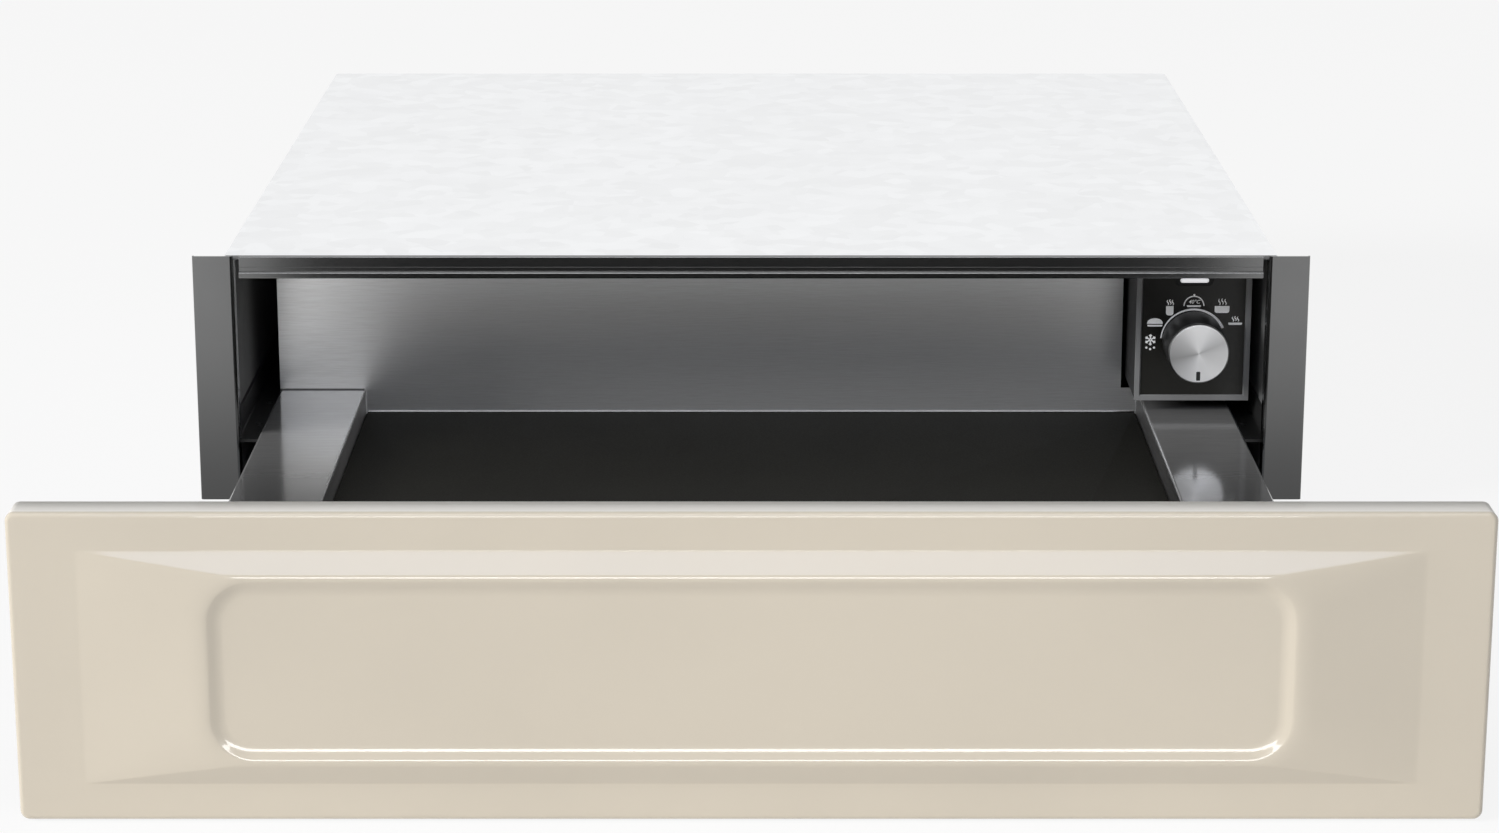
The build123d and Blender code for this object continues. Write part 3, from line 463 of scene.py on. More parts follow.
@dataclass(frozen=True)
class BrushedSteel(Finish):
    """Stainless sheet brushed across, with painted shade where the drawer's back wall stands.

    The walls of the well face across the brushing, so they lose its streaks and look dull. The
    ledges scatter more of the light, with painted shade at the front and painted sheen at the back.
    """

    tones: ClassVar[Flat] = (0.93, 1.06)
    swing: ClassVar[Flat] = (0.025, -0.02)

    roughness: float = 0.24
    depth: float = 0.0004
    fine_share: float = 0.7
    streak_span: Flat = (0.35, 0.65)
    wall_span: Flat = (0.7, 1.3)
    wall_roughness: float = 0.35
    seam_y: float = 90.0
    seam_z: float = 45.5
    seam_width: float = 0.9
    # The colour's factor where the ledges meet the back wall: painted shade.
    seam_shade_tone: float = 0.2
    ledge_sheet: float = 1.0
    well_half: float = 208.5
    metallic: float = 1.0
    ledge_metallic: float = 1.0
    # The colour's factors at the front and the back of the ledges: painted shade and painted sheen.
    ledge_painted_sheen: Flat = (1.0, 1.0)
    ledge_span: Flat = (-140.0, 0.0)

    def streaks(self, graph: Graph) -> Value:
        """Fine and broad brushing, laid over each other.

        Args:
            graph: The material's graph.

        Returns:
            The brushing as a noise of 0 to 1.
        """
        fine = graph.noise(graph.place(Grain.ALONG_X.value), scale=1.0, detail=2.0, rough=0.6)
        broad = graph.noise(graph.place(Grain.ALONG_X_BROAD.value), scale=1.0, detail=2.0)
        return fine * self.fine_share + broad * (1.0 - self.fine_share)

    def paint(self, graph: Graph) -> dict[str, object]:
        """Long fine streaks in colour, gloss and normal.

        Args:
            graph: The material's graph.

        Returns:
            The Principled shader's inputs.
        """
        across, along, up = graph.axes(graph.place())
        wall = abs(abs(across) - self.well_half * MM).spread(*(edge * MM for edge in self.wall_span))
        wall = wall + up.above((self.seam_z - self.ledge_sheet) * MM) + along.above(self.seam_y * MM)
        streak = 0.5 + (self.streaks(graph) - 0.5) * wall.spread(0.0, 1.0)
        # Where the ledges meet the back wall the colour darkens: painted shade in that corner.
        off_seam = abs(along - self.seam_y * MM) + abs(up - self.seam_z * MM)
        seam_shade = off_seam.spread(0.5 * self.seam_width * MM, self.seam_width * MM)
        ledge = abs(across).above(self.well_half * MM)
        fleck = streak.spread(*self.streak_span)
        # The ledges' colour runs from the front factor to the back factor: painted shade and sheen.
        near, far = (self.tinted(graph, fleck, light) for light in self.ledge_painted_sheen)
        tone = graph.mix(along.spread(*(end * MM for end in self.ledge_span)), near, far)
        return {
            "Base Color": graph.mix((1.0 - seam_shade) * ledge, tone, scaled(self.colour, self.seam_shade_tone)),
            "Metallic": ledge.spread(0.0, 1.0, self.metallic, self.ledge_metallic),
            "Roughness": streak.swung(self.roughness, self.swing)
            + wall.spread(0.0, 1.0, self.wall_roughness, 0.0),
            "Normal": graph.bump(streak, self.depth),
        }


@dataclass(frozen=True)
class Galvanised(Finish):
    """Hot-dipped sheet with its spangle, dark inside and along its front edge as painted shade.

    The inner faces lie within half_width, above underside, below top and in front of back.
    """

    tones: ClassVar[Flat] = (0.95, 1.04)

    # The dark colour inside and along the front edge is painted shade.
    inside_shade: Colour = grey(0.22)
    inside_dullness: float = 0.2
    half_width: float = 268.4
    underside: float = 0.6
    top: float = 138.4
    back: float = 538.4
    front_shade_band: float = 5.0
    flake_share: float = 0.6
    gloss: Flat = (0.44, 0.56)

    def outside(self, graph: Graph, place: Value) -> Value:
        """Tell the faces that look outwards from those inside and along the front edge.

        Args:
            graph: The material's graph.
            place: The point on the object.

        Returns:
            1 outside and 0 elsewhere.
        """
        across, along, up = graph.axes(place)
        faces = abs(across).above(self.half_width * MM) + up.above(self.top * MM)
        faces = faces + along.above(self.back * MM) + (1.0 - up.above(self.underside * MM))
        return faces.above(0.5) * along.above(self.front_shade_band * MM)

    def paint(self, graph: Graph) -> dict[str, object]:
        """Spangle outside, and dull painted shade inside and along the front edge.

        Args:
            graph: The material's graph.

        Returns:
            The Principled shader's inputs.
        """
        place = graph.place()
        outside = self.outside(graph, place)
        shine = graph.axes(graph.cells(place, scale=85.0))[0]
        cloud = graph.noise(place, scale=30.0, detail=3.0)
        metal = self.tinted(graph, shine * self.flake_share + cloud * (1.0 - self.flake_share))
        # Inside and along the front edge the colour is painted shade.
        return {
            "Base Color": graph.mix(outside, self.inside_shade, metal),
            "Metallic": outside,
            "Roughness": shine.spread(0.0, 1.0, *self.gloss) + (1.0 - outside) * self.inside_dullness,
            "Normal": graph.bump(cloud, depth=0.02),
        }


@dataclass(frozen=True)
class Zinc(Finish):
    """Bright zinc plate, faintly clouded and rubbed."""

    tones: ClassVar[Flat] = (0.88, 1.08)
    swing: ClassVar[Flat] = (-0.07, 0.09)

    roughness: float = 0.3

    def paint(self, graph: Graph) -> dict[str, object]:
        """Clouds of gloss and a trace of drawing lines.

        Args:
            graph: The material's graph.

        Returns:
            The Principled shader's inputs.
        """
        cloud = graph.noise(graph.place(), scale=60.0, detail=4.0)
        lines = graph.noise(graph.place(Grain.ALONG_Y.value), scale=1.0, detail=2.0)
        return {
            "Base Color": self.tinted(graph, cloud.patches()),
            "Metallic": 1.0,
            "Roughness": cloud.swung(self.roughness, self.swing),
            "Normal": graph.bump(lines, depth=0.004),
        }


@dataclass(frozen=True)
class Moulded(Finish):
    """Moulded plastic or rubber with a spark-eroded grain."""

    tones: ClassVar[Flat] = (0.92, 1.08)
    swing: ClassVar[Flat] = (0.04, -0.04)

    roughness: float = 0.5
    pitch: float = 0.5
    depth: float = 0.02
    gloss: float = 0.5

    def paint(self, graph: Graph) -> dict[str, object]:
        """A grain at the given pitch in millimetres.

        Args:
            graph: The material's graph.

        Returns:
            The Principled shader's inputs.
        """
        place = graph.place()
        grain = graph.noise(place, scale=1.0 / (self.pitch * MM), detail=2.0)
        cloud = graph.noise(place, scale=25.0, detail=2.0)
        return {
            "Base Color": self.tinted(graph, cloud.patches()),
            "Roughness": grain.swung(self.roughness, self.swing),
            "Specular IOR Level": self.gloss,
            "Normal": graph.bump(grain, self.depth),
        }


@dataclass(frozen=True)
class SpunFace(Finish):
    """Aluminium turned on a lathe: fine rings about an axis that runs along Y.

    Its rays are (degrees anticlockwise from +X, lightness): painted highlights and shade where
    turned rings would catch the light. Past face_radius the edge is darker: painted shade.
    """

    centre: Flat = (232.0, 84.0)
    face_radius: float = 15.1
    edge_light: float = 0.4
    pitch: float = 0.16
    depth: float = 0.006
    roughness: Flat = (0.3, 0.36)
    painted_highlight_rays: tuple[Flat, ...] = (
        (-180.0, 0.60),
        (-168.0, 0.50),
        (-148.0, 0.66),
        (-120.0, 0.84),
        (-95.0, 1.02),
        (-60.0, 1.04),
        (-25.0, 0.86),
        (5.0, 0.76),
        (24.0, 0.62),
        (42.0, 0.74),
        (72.0, 1.00),
        (100.0, 1.12),
        (118.0, 1.00),
        (145.0, 0.78),
        (180.0, 0.60),
    )

    def paint(self, graph: Graph) -> dict[str, object]:
        """Rings in the normal, and painted highlights and shade in rays round the axis.

        Args:
            graph: The material's graph.

        Returns:
            The Principled shader's inputs.
        """
        shift = (-self.centre[0] * MM, 0.0, -self.centre[1] * MM)
        across, _, up = graph.axes(graph.place(shift=shift))
        radius = (across * across + up * up) ** 0.5
        angle = graph.node("ShaderNodeMath", {"operation": "ARCTAN2"}, {0: up, 1: across})
        rings = (radius * (math.tau / (self.pitch * MM))).sine()
        worn = graph.noise(graph.place(), scale=900.0, detail=1.0)
        # A ramp of painted highlights and shade by the angle round the axis.
        stops = [(degrees / 360 + 0.5, scaled(self.colour, light)) for degrees, light in self.painted_highlight_rays]
        painted_rays = graph.ramp(angle / math.tau + 0.5, stops)
        # Past face_radius the colour drops to edge_light: painted shade on the edge.
        edge = radius.above(self.face_radius * MM)
        return {
            "Base Color": graph.mix(edge, painted_rays, scaled(self.colour, self.edge_light)),
            "Metallic": 1.0,
            "Roughness": worn.patches(*self.roughness),
            "Normal": graph.bump(rings * 0.5 + 0.5, self.depth),
        }


@dataclass(frozen=True)
class Ink(Finish):
    """Screen-printed ink, with a painted glow."""

    tones: ClassVar[Flat] = (0.85, 1.0)

    roughness: Flat = (0.5, 0.6)
    film_span: Flat = (0.2, 0.6)
    # The ink glows a little: painted light.
    glow: float = 0.14

    def paint(self, graph: Graph) -> dict[str, object]:
        """Uneven ink, with a painted glow that keeps it bright in the shade of the box.

        Args:
            graph: The material's graph.

        Returns:
            The Principled shader's inputs.
        """
        film = graph.noise(graph.place(), scale=1800.0, detail=1.0)
        tone = self.tinted(graph, film.spread(*self.film_span))
        return {
            "Base Color": tone,
            "Roughness": film.patches(*self.roughness),
            # This emission is painted light, not a lamp.
            "Emission Color": tone,
            "Emission Strength": self.glow,
        }


@dataclass(frozen=True)
class LitLens(Finish):
    """A milky light guide that glows, brightest along its middle."""

    middle_x: float = 232.0
    half_width: float = 7.5
    even_share: float = 0.75
    end_light: float = 0.55
    unlit: Colour = grey(0.4)
    roughness: float = 0.3
    glow: float = 0.6

    def paint(self, graph: Graph) -> dict[str, object]:
        """Glow that falls off to the lens's ends.

        Args:
            graph: The material's graph.

        Returns:
            The Principled shader's inputs.
        """
        across = graph.axes(graph.place(shift=(-self.middle_x * MM, 0.0, 0.0)))[0]
        end = self.half_width * MM
        light = abs(across).spread(end * self.even_share, end, 1.0, self.end_light)
        return {
            "Base Color": self.colour,
            "Roughness": self.roughness,
            "Emission Color": graph.mix(light, self.unlit, self.colour),
            "Emission Strength": self.glow,
        }


@dataclass(frozen=True)
class Striped(Finish):
    """Fine stripes across one axis: laminations, a winding or a braid."""

    swing: ClassVar[Flat] = (-0.06, 0.08)

    second: Colour = grey(0.1)
    stretch: Point = (0.0, 1.0, 0.0)
    pitch: float = 1.0
    metallic: float = 1.0
    roughness: float = 0.4
    band_span: Flat = (-0.9, 0.2)
    depth: float = 0.1

    def paint(self, graph: Graph) -> dict[str, object]:
        """Stripes at the pitch, with a groove between each two.

        Args:
            graph: The material's graph.

        Returns:
            The Principled shader's inputs.
        """
        across, along, up = graph.axes(graph.place(self.stretch))
        wave = ((across + along + up) * (math.tau / (self.pitch * MM))).sine()
        band = wave.spread(*self.band_span)
        cloud = graph.noise(graph.place(), scale=200.0, detail=2.0)
        return {
            "Base Color": graph.mix(band, self.second, self.colour),
            "Metallic": self.metallic,
            "Roughness": cloud.swung(self.roughness, self.swing),
            "Normal": graph.bump(band, self.depth),
        }


@dataclass(frozen=True)
class HeatTinted(Finish):
    """Heater sheath, straw and blue where it has run hot."""

    straw: Colour = (0.34, 0.27, 0.19)
    blue: Colour = (0.22, 0.2, 0.27)
    stops: tuple[float, ...] = (0.3, 0.5, 0.62, 0.75)
    stretch: Point = (9.0, 60.0, 60.0)
    roughness: Flat = (0.42, 0.55)

    def paint(self, graph: Graph) -> dict[str, object]:
        """Tints that drift along the tube.

        Args:
            graph: The material's graph.

        Returns:
            The Principled shader's inputs.
        """
        drift = graph.noise(graph.place(self.stretch), scale=1.0, detail=3.0)
        colours = (self.colour, self.straw, self.blue, self.colour)
        return {
            "Base Color": graph.ramp(drift, list(zip(self.stops, colours))),
            "Metallic": 1.0,
            "Roughness": drift.patches(*self.roughness),
        }


@dataclass(frozen=True)
class CircuitBoard(Finish):
    """Lacquered board with its tracks."""

    track: Colour = (0.10, 0.34, 0.16)
    track_span: Flat = (0.06, 0.1)
    roughness: Flat = (0.35, 0.25)

    def paint(self, graph: Graph) -> dict[str, object]:
        """Tracks as the borders of blocky cells.

        Args:
            graph: The material's graph.

        Returns:
            The Principled shader's inputs.
        """
        settings = {"feature": "DISTANCE_TO_EDGE"}
        inputs = {"Vector": graph.place(), "Scale": 300.0, "Randomness": 0.2}
        edge = graph.node("ShaderNodeTexVoronoi", settings, inputs, "Distance")
        track = edge.spread(*self.track_span, 1.0, 0.0)
        return {
            "Base Color": graph.mix(track, self.colour, self.track),
            "Roughness": track.spread(0.0, 1.0, *self.roughness),
            "Normal": graph.bump(track, depth=0.03),
        }


class Palette:
    """Every finish of the drawer."""

    enamel = Enamel("enamel_cream", (0.61, 0.543, 0.437))
    # The frame's paint darkens to 0.42 of its colour at the foot: painted shade.
    frame_paint = SatinMetal("frame_anthracite", (0.192, 0.193, 0.193), roughness=0.17, foot=0.42)
    carrier_paint = PowderCoat("carrier_powder_coat", grey(0.018), roughness=0.5)
    casing = Galvanised("galvanised_sheet", (0.56, 0.565, 0.57))
    # The lid is a far paler copy of the casing's sheet: painted light on the top.
    lid = Galvanised("galvanised_lid_painted_light", (0.86, 0.865, 0.87), gloss=(0.66, 0.76))
    liner = SatinMetal("liner_sheet", grey(0.075), roughness=0.4)
    # The tray's stainless is a dark copy and the back wall's a near-white copy of one metal: painted
    # shade and painted light.
    tray = BrushedSteel(
        "brushed_stainless",
        (0.25, 0.249, 0.247),
        roughness=0.11,
        ledge_metallic=0.5,
        # Darker at the ledges' front and paler at their back: painted shade and sheen.
        ledge_painted_sheen=(0.75, 1.7),
    )
    tray_back = BrushedSteel(
        "brushed_stainless_back_painted_light",
        (0.98, 0.978, 0.975),
        roughness=0.3,
        metallic=0.8,
        ledge_metallic=0.8,
    )
    mat = Moulded("silicone_mat", (0.0105, 0.0100, 0.0082), roughness=0.75, pitch=0.9, gloss=0.2)
    slides = Zinc("slide_zinc", (0.60, 0.62, 0.64))
    balls = Zinc("slide_balls", (0.70, 0.71, 0.73), roughness=0.16)
    box = Moulded("box_plastic", grey(0.02), pitch=0.6)
    bezel = Moulded("bezel_plastic", grey(0.27), roughness=0.4, depth=0.004)
    fascia = Moulded(
        "fascia_gloss", (0.0155, 0.0150, 0.0125), roughness=0.2, pitch=2.0, depth=0.0, gloss=0.3
    )
    surround = Moulded("lens_surround_plastic", grey(0.006), roughness=0.35, depth=0.002, gloss=0.2)
    ink = Ink("dial_ink", grey(0.95))
    lens = LitLens("lamp_lens", (0.94, 0.94, 0.96))
    board = CircuitBoard("lamp_board_lacquer", (0.03, 0.16, 0.07))
    thermostat = Moulded("thermostat_shell", (0.30, 0.28, 0.25), pitch=0.7)
    spindle = Striped("turned_spindle", (0.60, 0.60, 0.61), second=grey(0.4), pitch=0.3)
    knob_skirt = Moulded("knob_skirt_plastic", grey(0.012), roughness=0.4, depth=0.004)
    knob_face = SpunFace("spun_aluminium", (0.92, 0.92, 0.925))
    knob_inlay = Moulded("knob_inlay_black", grey(0.008), roughness=0.6, pitch=0.4)
    motor = Striped("motor_laminations", (0.24, 0.25, 0.26))
    winding = Striped(
        "copper_winding",
        (0.62, 0.27, 0.12),
        second=(0.25, 0.1, 0.05),
        stretch=(1.0, 0.0, 0.0),
        pitch=0.9,
        roughness=0.35,
    )
    wheel = Zinc("fan_aluminium", (0.68, 0.69, 0.70), roughness=0.34)
    heater = HeatTinted("heater_sheath", (0.30, 0.29, 0.28))
    hanger = Zinc("hanger_sheet", (0.58, 0.59, 0.60), roughness=0.36)
    cutout = Moulded("cutout_shell", (0.50, 0.44, 0.34), roughness=0.45, pitch=0.7)
    gland = Moulded("gland_nylon", grey(0.03), pitch=0.7)
    terminals = Moulded("terminal_nylon", (0.72, 0.72, 0.68), roughness=0.4, pitch=0.9)
    loom = Striped(
        "loom_braid",
        grey(0.03),
        second=grey(0.012),
        stretch=(1.0, 1.0, 1.0),
        pitch=1.4,
        metallic=0.0,
        roughness=0.6,
    )
    clips = Moulded("clip_nylon", (0.68, 0.68, 0.64), roughness=0.42, pitch=0.8)
    latch = Moulded("latch_shell", (0.22, 0.23, 0.24), pitch=0.7)
    plunger = Moulded("plunger_acetal", (0.72, 0.72, 0.69), roughness=0.38, pitch=0.9)
    screws = Zinc("screw_zinc", (0.66, 0.67, 0.68), roughness=0.26)


# Shapes


def on_circle(centre: Flat, radius: float, turn: float) -> Flat:
    """The point on a circle at a turn in radians from its first axis towards its second."""
    return (centre[0] + radius * math.cos(turn), centre[1] + radius * math.sin(turn))


def between(first: Sequence[float], second: Sequence[float], share: float) -> tuple[float, ...]:
    """The numbers part of the way between two others."""
    return tuple(a + (b - a) * share for a, b in zip(first, second))


def bend(
    first: Sequence[float], knee: Sequence[float], last: Sequence[float], steps: int
) -> list[tuple[float, ...]]:
    """A smooth turn in steps from first to last that heads for the knee on its way."""
    shares = [step / steps for step in range(steps + 1)]
    return [between(between(first, knee, s), between(knee, last, s), s) for s in shares]


def rounded_edge(radius: float, steps: int) -> list[Flat]:
    """Steps of a quarter turn from a wall to its top: how far in, and how far under the top."""
    turns = [math.pi / 2 * step / steps for step in range(steps + 1)]
    return [(radius * (1 - math.cos(turn)), radius * (1 - math.sin(turn))) for turn in turns]


def rounded_ring(half: Flat, radius: float, y: float, middle: Flat) -> list[Point]:
    """A rounded rectangle in the XZ plane with a fixed number of points.

    Args:
        half: Half its size along X and along Z.
        radius: The radius of its corners.
        y: Its place along Y.
        middle: The (x, z) of its middle.

    Returns:
        The points, anticlockwise from the lower right corner.
    """
    arcs = []
    for number, (right, up) in enumerate(CORNERS):
        centre = (middle[0] + right * (half[0] - radius), middle[1] + up * (half[1] - radius))
        turns = [math.pi / 2 * (number - 1 + step / CORNER_STEPS) for step in range(CORNER_STEPS + 1)]
        arcs.append([on_circle(centre, radius, turn) for turn in turns])
    outline: list[Flat] = []
    for number, arc in enumerate(arcs):
        goal = arcs[(number + 1) % len(arcs)][0]
        steps = LEVEL_STEPS if number % 2 else UPRIGHT_STEPS
        outline += arc + [between(arc[-1], goal, step / steps) for step in range(1, steps)]
    return [(x, y, z) for x, z in outline]


def plain_mesh(holder: bpy.types.Object) -> bpy.types.Mesh:
    """Evaluate an object that isn't linked yet, remove it and keep its mesh.

    Args:
        holder: The object, with its modifiers.

    Returns:
        The evaluated mesh, without modifiers.
    """
    bpy.context.scene.collection.objects.link(holder)
    depsgraph = bpy.context.evaluated_depsgraph_get()
    mesh = bpy.data.meshes.new_from_object(holder.evaluated_get(depsgraph))
    bpy.data.objects.remove(holder)
    return mesh


def smoothed(mesh: bpy.types.Mesh, crease: float) -> bpy.types.Mesh:
    """Shade a mesh smoothly, but for its sharp edges.

    Args:
        mesh: The mesh.
        crease: The angle in degrees past which an edge stays sharp.

    Returns:
        The mesh.
    """
    mesh.shade_smooth()
    mesh.set_sharp_from_angle(angle=math.radians(crease))
    return mesh


def thickened(skin: bpy.types.Mesh, wall: float) -> bpy.types.Mesh:
    """Give a skin a wall behind it.

    Args:
        skin: The outer face, in metres.
        wall: The wall in millimetres.

    Returns:
        The solid mesh, under the skin's name.
    """
    name = skin.name
    holder = bpy.data.objects.new("skin_holder", skin)
    solid = holder.modifiers.new("wall", "SOLIDIFY")
    solid.thickness = wall * MM
    solid.offset = -1.0
    mesh = plain_mesh(holder)
    bpy.data.meshes.remove(skin)
    mesh.name = name
    return mesh


class Form:
    """A mesh in the making, in millimetres."""

    def __init__(self) -> None:
        """Start with nothing."""
        self.mesh = bmesh.new()

    def loft(self, rings: Sequence[Sequence[Point]], close: bool = True) -> "Form":
        """Join rings of equally many points.

        Args:
            rings: The rings in order.
            close: Whether to cap the first and the last ring.

        Returns:
            This form.
        """
        rows = [[self.mesh.verts.new(point) for point in ring] for ring in rings]
        count = len(rows[0])
        for lower, upper in zip(rows, rows[1:]):
            for here in range(count):
                there = (here + 1) % count
                self.mesh.faces.new((lower[here], lower[there], upper[there], upper[here]))
        if close:
            self.mesh.faces.new(rows[0])
            self.mesh.faces.new(rows[-1])
        return self

    def lathe(self, profile: Sequence[Flat], centre: Flat, steps: int = 96) -> "Form":
        """Turn a profile about a line along Y.

        Args:
            profile: The (radius, y) of each ring.
            centre: The (x, z) of the line.
            steps: How many sides each ring has.

        Returns:
            This form.
        """
        rings = []
        for radius, y in profile:
            circle = [on_circle(centre, radius, math.tau * step / steps) for step in range(steps)]
            rings.append([(x, y, z) for x, z in circle])
        return self.loft(rings)

    def plate(self, outline: Sequence[Flat], front: float, back: float) -> "Form":
        """A flat plate in the XZ plane from front to back."""
        return self.loft([[(x, y, z) for x, z in outline] for y in (front, back)])

    def data(self, name: str, crease: float) -> bpy.types.Mesh:
        """Turn this form into a mesh in metres and let go of it.

        Args:
            name: The mesh's name.
            crease: The angle in degrees past which an edge stays sharp.

        Returns:
            The mesh.
        """
        bmesh.ops.remove_doubles(self.mesh, verts=self.mesh.verts, dist=WELD)
        bmesh.ops.recalc_face_normals(self.mesh, faces=self.mesh.faces)
        bmesh.ops.scale(self.mesh, vec=Vector((MM, MM, MM)), verts=self.mesh.verts)
        data = bpy.data.meshes.new(name)
        self.mesh.to_mesh(data)
        self.mesh.free()
        return smoothed(data, crease)

    def piece(
        self,
        name: str,
        finish: Finish,
        body: str,
        slot: str,
        replaced: Sequence[str] = (),
        crease: float = 32.0,
    ) -> bpy.types.Object:
        """Make the piece.

        Args:
            name: The piece's name.
            finish: Its finish.
            body: The body that it rides on.
            slot: The record's material slot; not used.
            replaced: The solids that it stands for.
            crease: The angle in degrees past which an edge stays sharp.

        Returns:
            The piece's object.
        """
        piece = bpy.data.objects.new(name, self.data(name, crease))
        return settle(piece, finish, body, replaced)


def settle(
    piece: bpy.types.Object,
    finish: Finish,
    body: str,
    replaced: Sequence[str] = (),
) -> bpy.types.Object:
    """Link a piece and tell the frame where it belongs.

    Args:
        piece: The finished object.
        finish: Its finish.
        body: The body that it rides on.
        replaced: The solids that it stands for.

    Returns:
        The piece.
    """
    bpy.context.scene.collection.objects.link(piece)
    piece.data.materials.clear()
    piece.data.materials.append(finish.material())
    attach(piece, body)
    if replaced:
        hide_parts(*replaced)
    LOG.info("%s rides on %s", piece.name, body)
    return piece


def dress(finish: Finish, *nodes: str) -> None:
    """Give the frame's own solids a finish.

    Args:
        finish: The finish.
        nodes: The names of the solids' nodes.
    """
    for node in nodes:
        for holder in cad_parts[node].material_slots:
            holder.material = finish.material()
        LOG.info("%s wears %s", node, finish.name)


def pair(*names: str) -> list[str]:
    """The left and the right node of each name."""
    return [f"{name}_{side}" for name in names for side in SIDES]


# Geometry Nodes


class NodeShape:
    """A Geometry Nodes tree with named inputs, run once on a mesh of points.

    Args:
        name: The tree's name.
    """

    def __init__(self, name: str) -> None:
        """Start a tree that takes geometry and gives geometry."""
        self.tree = bpy.data.node_groups.new(name, "GeometryNodeTree")
        for way in ("INPUT", "OUTPUT"):
            self.tree.interface.new_socket("Geometry", in_out=way, socket_type="NodeSocketGeometry")
        self.entry = self.tree.nodes.new("NodeGroupInput")
        self.exit = self.tree.nodes.new("NodeGroupOutput")
        self.sizes: dict[str, float | int] = {}

    def size(self, name: str, value: float | int) -> bpy.types.NodeSocket:
        """Add a named input.

        Args:
            name: The input's name.
            value: Its value when the tree is run.

        Returns:
            The socket that carries it.
        """
        kind = "NodeSocketInt" if isinstance(value, int) else "NodeSocketFloat"
        self.tree.interface.new_socket(name, in_out="INPUT", socket_type=kind)
        self.sizes[name] = value
        return self.entry.outputs[name]

    def node(
        self,
        kind: str,
        settings: Mapping[str, object] | None = None,
        inputs: Mapping[str | int, object] | None = None,
    ) -> bpy.types.NodeSocket:
        """Add a node.

        Args:
            kind: The node's type.
            settings: The node's own properties, which are set first.
            inputs: A value, a socket or a list of sockets for each input, by name or index.

        Returns:
            The node's first output.
        """
        node = self.tree.nodes.new(kind)
        for name, setting in (settings or {}).items():
            setattr(node, name, setting)
        for key, value in (inputs or {}).items():
            for item in value if isinstance(value, list) else [value]:
                if isinstance(item, bpy.types.NodeSocket):
                    self.tree.links.new(item, node.inputs[key])
                else:
                    node.inputs[key].default_value = item
        return node.outputs[0]

    def maths(self, operation: str, first: object, second: object) -> bpy.types.NodeSocket:
        """Add a Math node and return its result."""
        return self.node("ShaderNodeMath", {"operation": operation}, {0: first, 1: second})

    def vector(self, x: object = 0.0, y: object = 0.0, z: object = 0.0) -> bpy.types.NodeSocket:
        """Put three numbers together."""
        return self.node("ShaderNodeCombineXYZ", inputs={"X": x, "Y": y, "Z": z})

    def solid(self, kind: str, **sizes: object) -> bpy.types.NodeSocket:
        """Add a cone, a cylinder or a cube."""
        named = {size.replace("_", " ").title(): value for size, value in sizes.items()}
        return self.node(f"GeometryNodeMesh{kind}", inputs=named)

    def raised(self, geometry: bpy.types.NodeSocket, height: object) -> bpy.types.NodeSocket:
        """Move geometry along Z."""
        inputs = {"Geometry": geometry, "Translation": self.vector(z=height)}
        return self.node("GeometryNodeTransform", inputs=inputs)

    def boolean(self, operation: str, inputs: Mapping[int, object]) -> bpy.types.NodeSocket:
        """Join solids, or cut the second input out of the first."""
        settings = {"operation": operation, "solver": "EXACT"}
        return self.node("GeometryNodeMeshBoolean", settings, inputs)

    def finish(self, geometry: bpy.types.NodeSocket, material: bpy.types.Material) -> None:
        """End the tree: realise the instances and set the material.

        Args:
            geometry: What the tree has made.
            material: The material of all of it.
        """
        real = self.node("GeometryNodeRealizeInstances", inputs={"Geometry": geometry})
        inputs = {"Geometry": real, "Material": material}
        self.tree.links.new(self.node("GeometryNodeSetMaterial", inputs=inputs), self.exit.inputs[0])

    def run(
        self, name: str, places: Sequence[tuple[Point, Point]], crease: float = 35.0
    ) -> bpy.types.Object:
        """Run the tree on points and keep the result as a plain mesh.

        Args:
            name: The new object's name.
            places: A place in millimetres and a direction for each point.
            crease: The angle in degrees past which an edge stays sharp.

        Returns:
            The object, not yet linked to the scene.
        """
        seed = bpy.data.meshes.new(f"{name}_places")
        seed.from_pydata([Vector(place) * MM for place, _ in places], [], [])
        aims = seed.attributes.new("aim", "FLOAT_VECTOR", "POINT")
        for number, (_, aim) in enumerate(places):
            aims.data[number].vector = aim
        holder = bpy.data.objects.new(f"{name}_holder", seed)
        modifier = holder.modifiers.new("shape", "NODES")
        modifier.node_group = self.tree
        for item in self.tree.interface.items_tree:
            if item.in_out == "INPUT" and item.name in self.sizes:
                modifier[item.identifier] = self.sizes[item.name]
        mesh = plain_mesh(holder)
        mesh.name = name
        return bpy.data.objects.new(name, smoothed(mesh, crease))


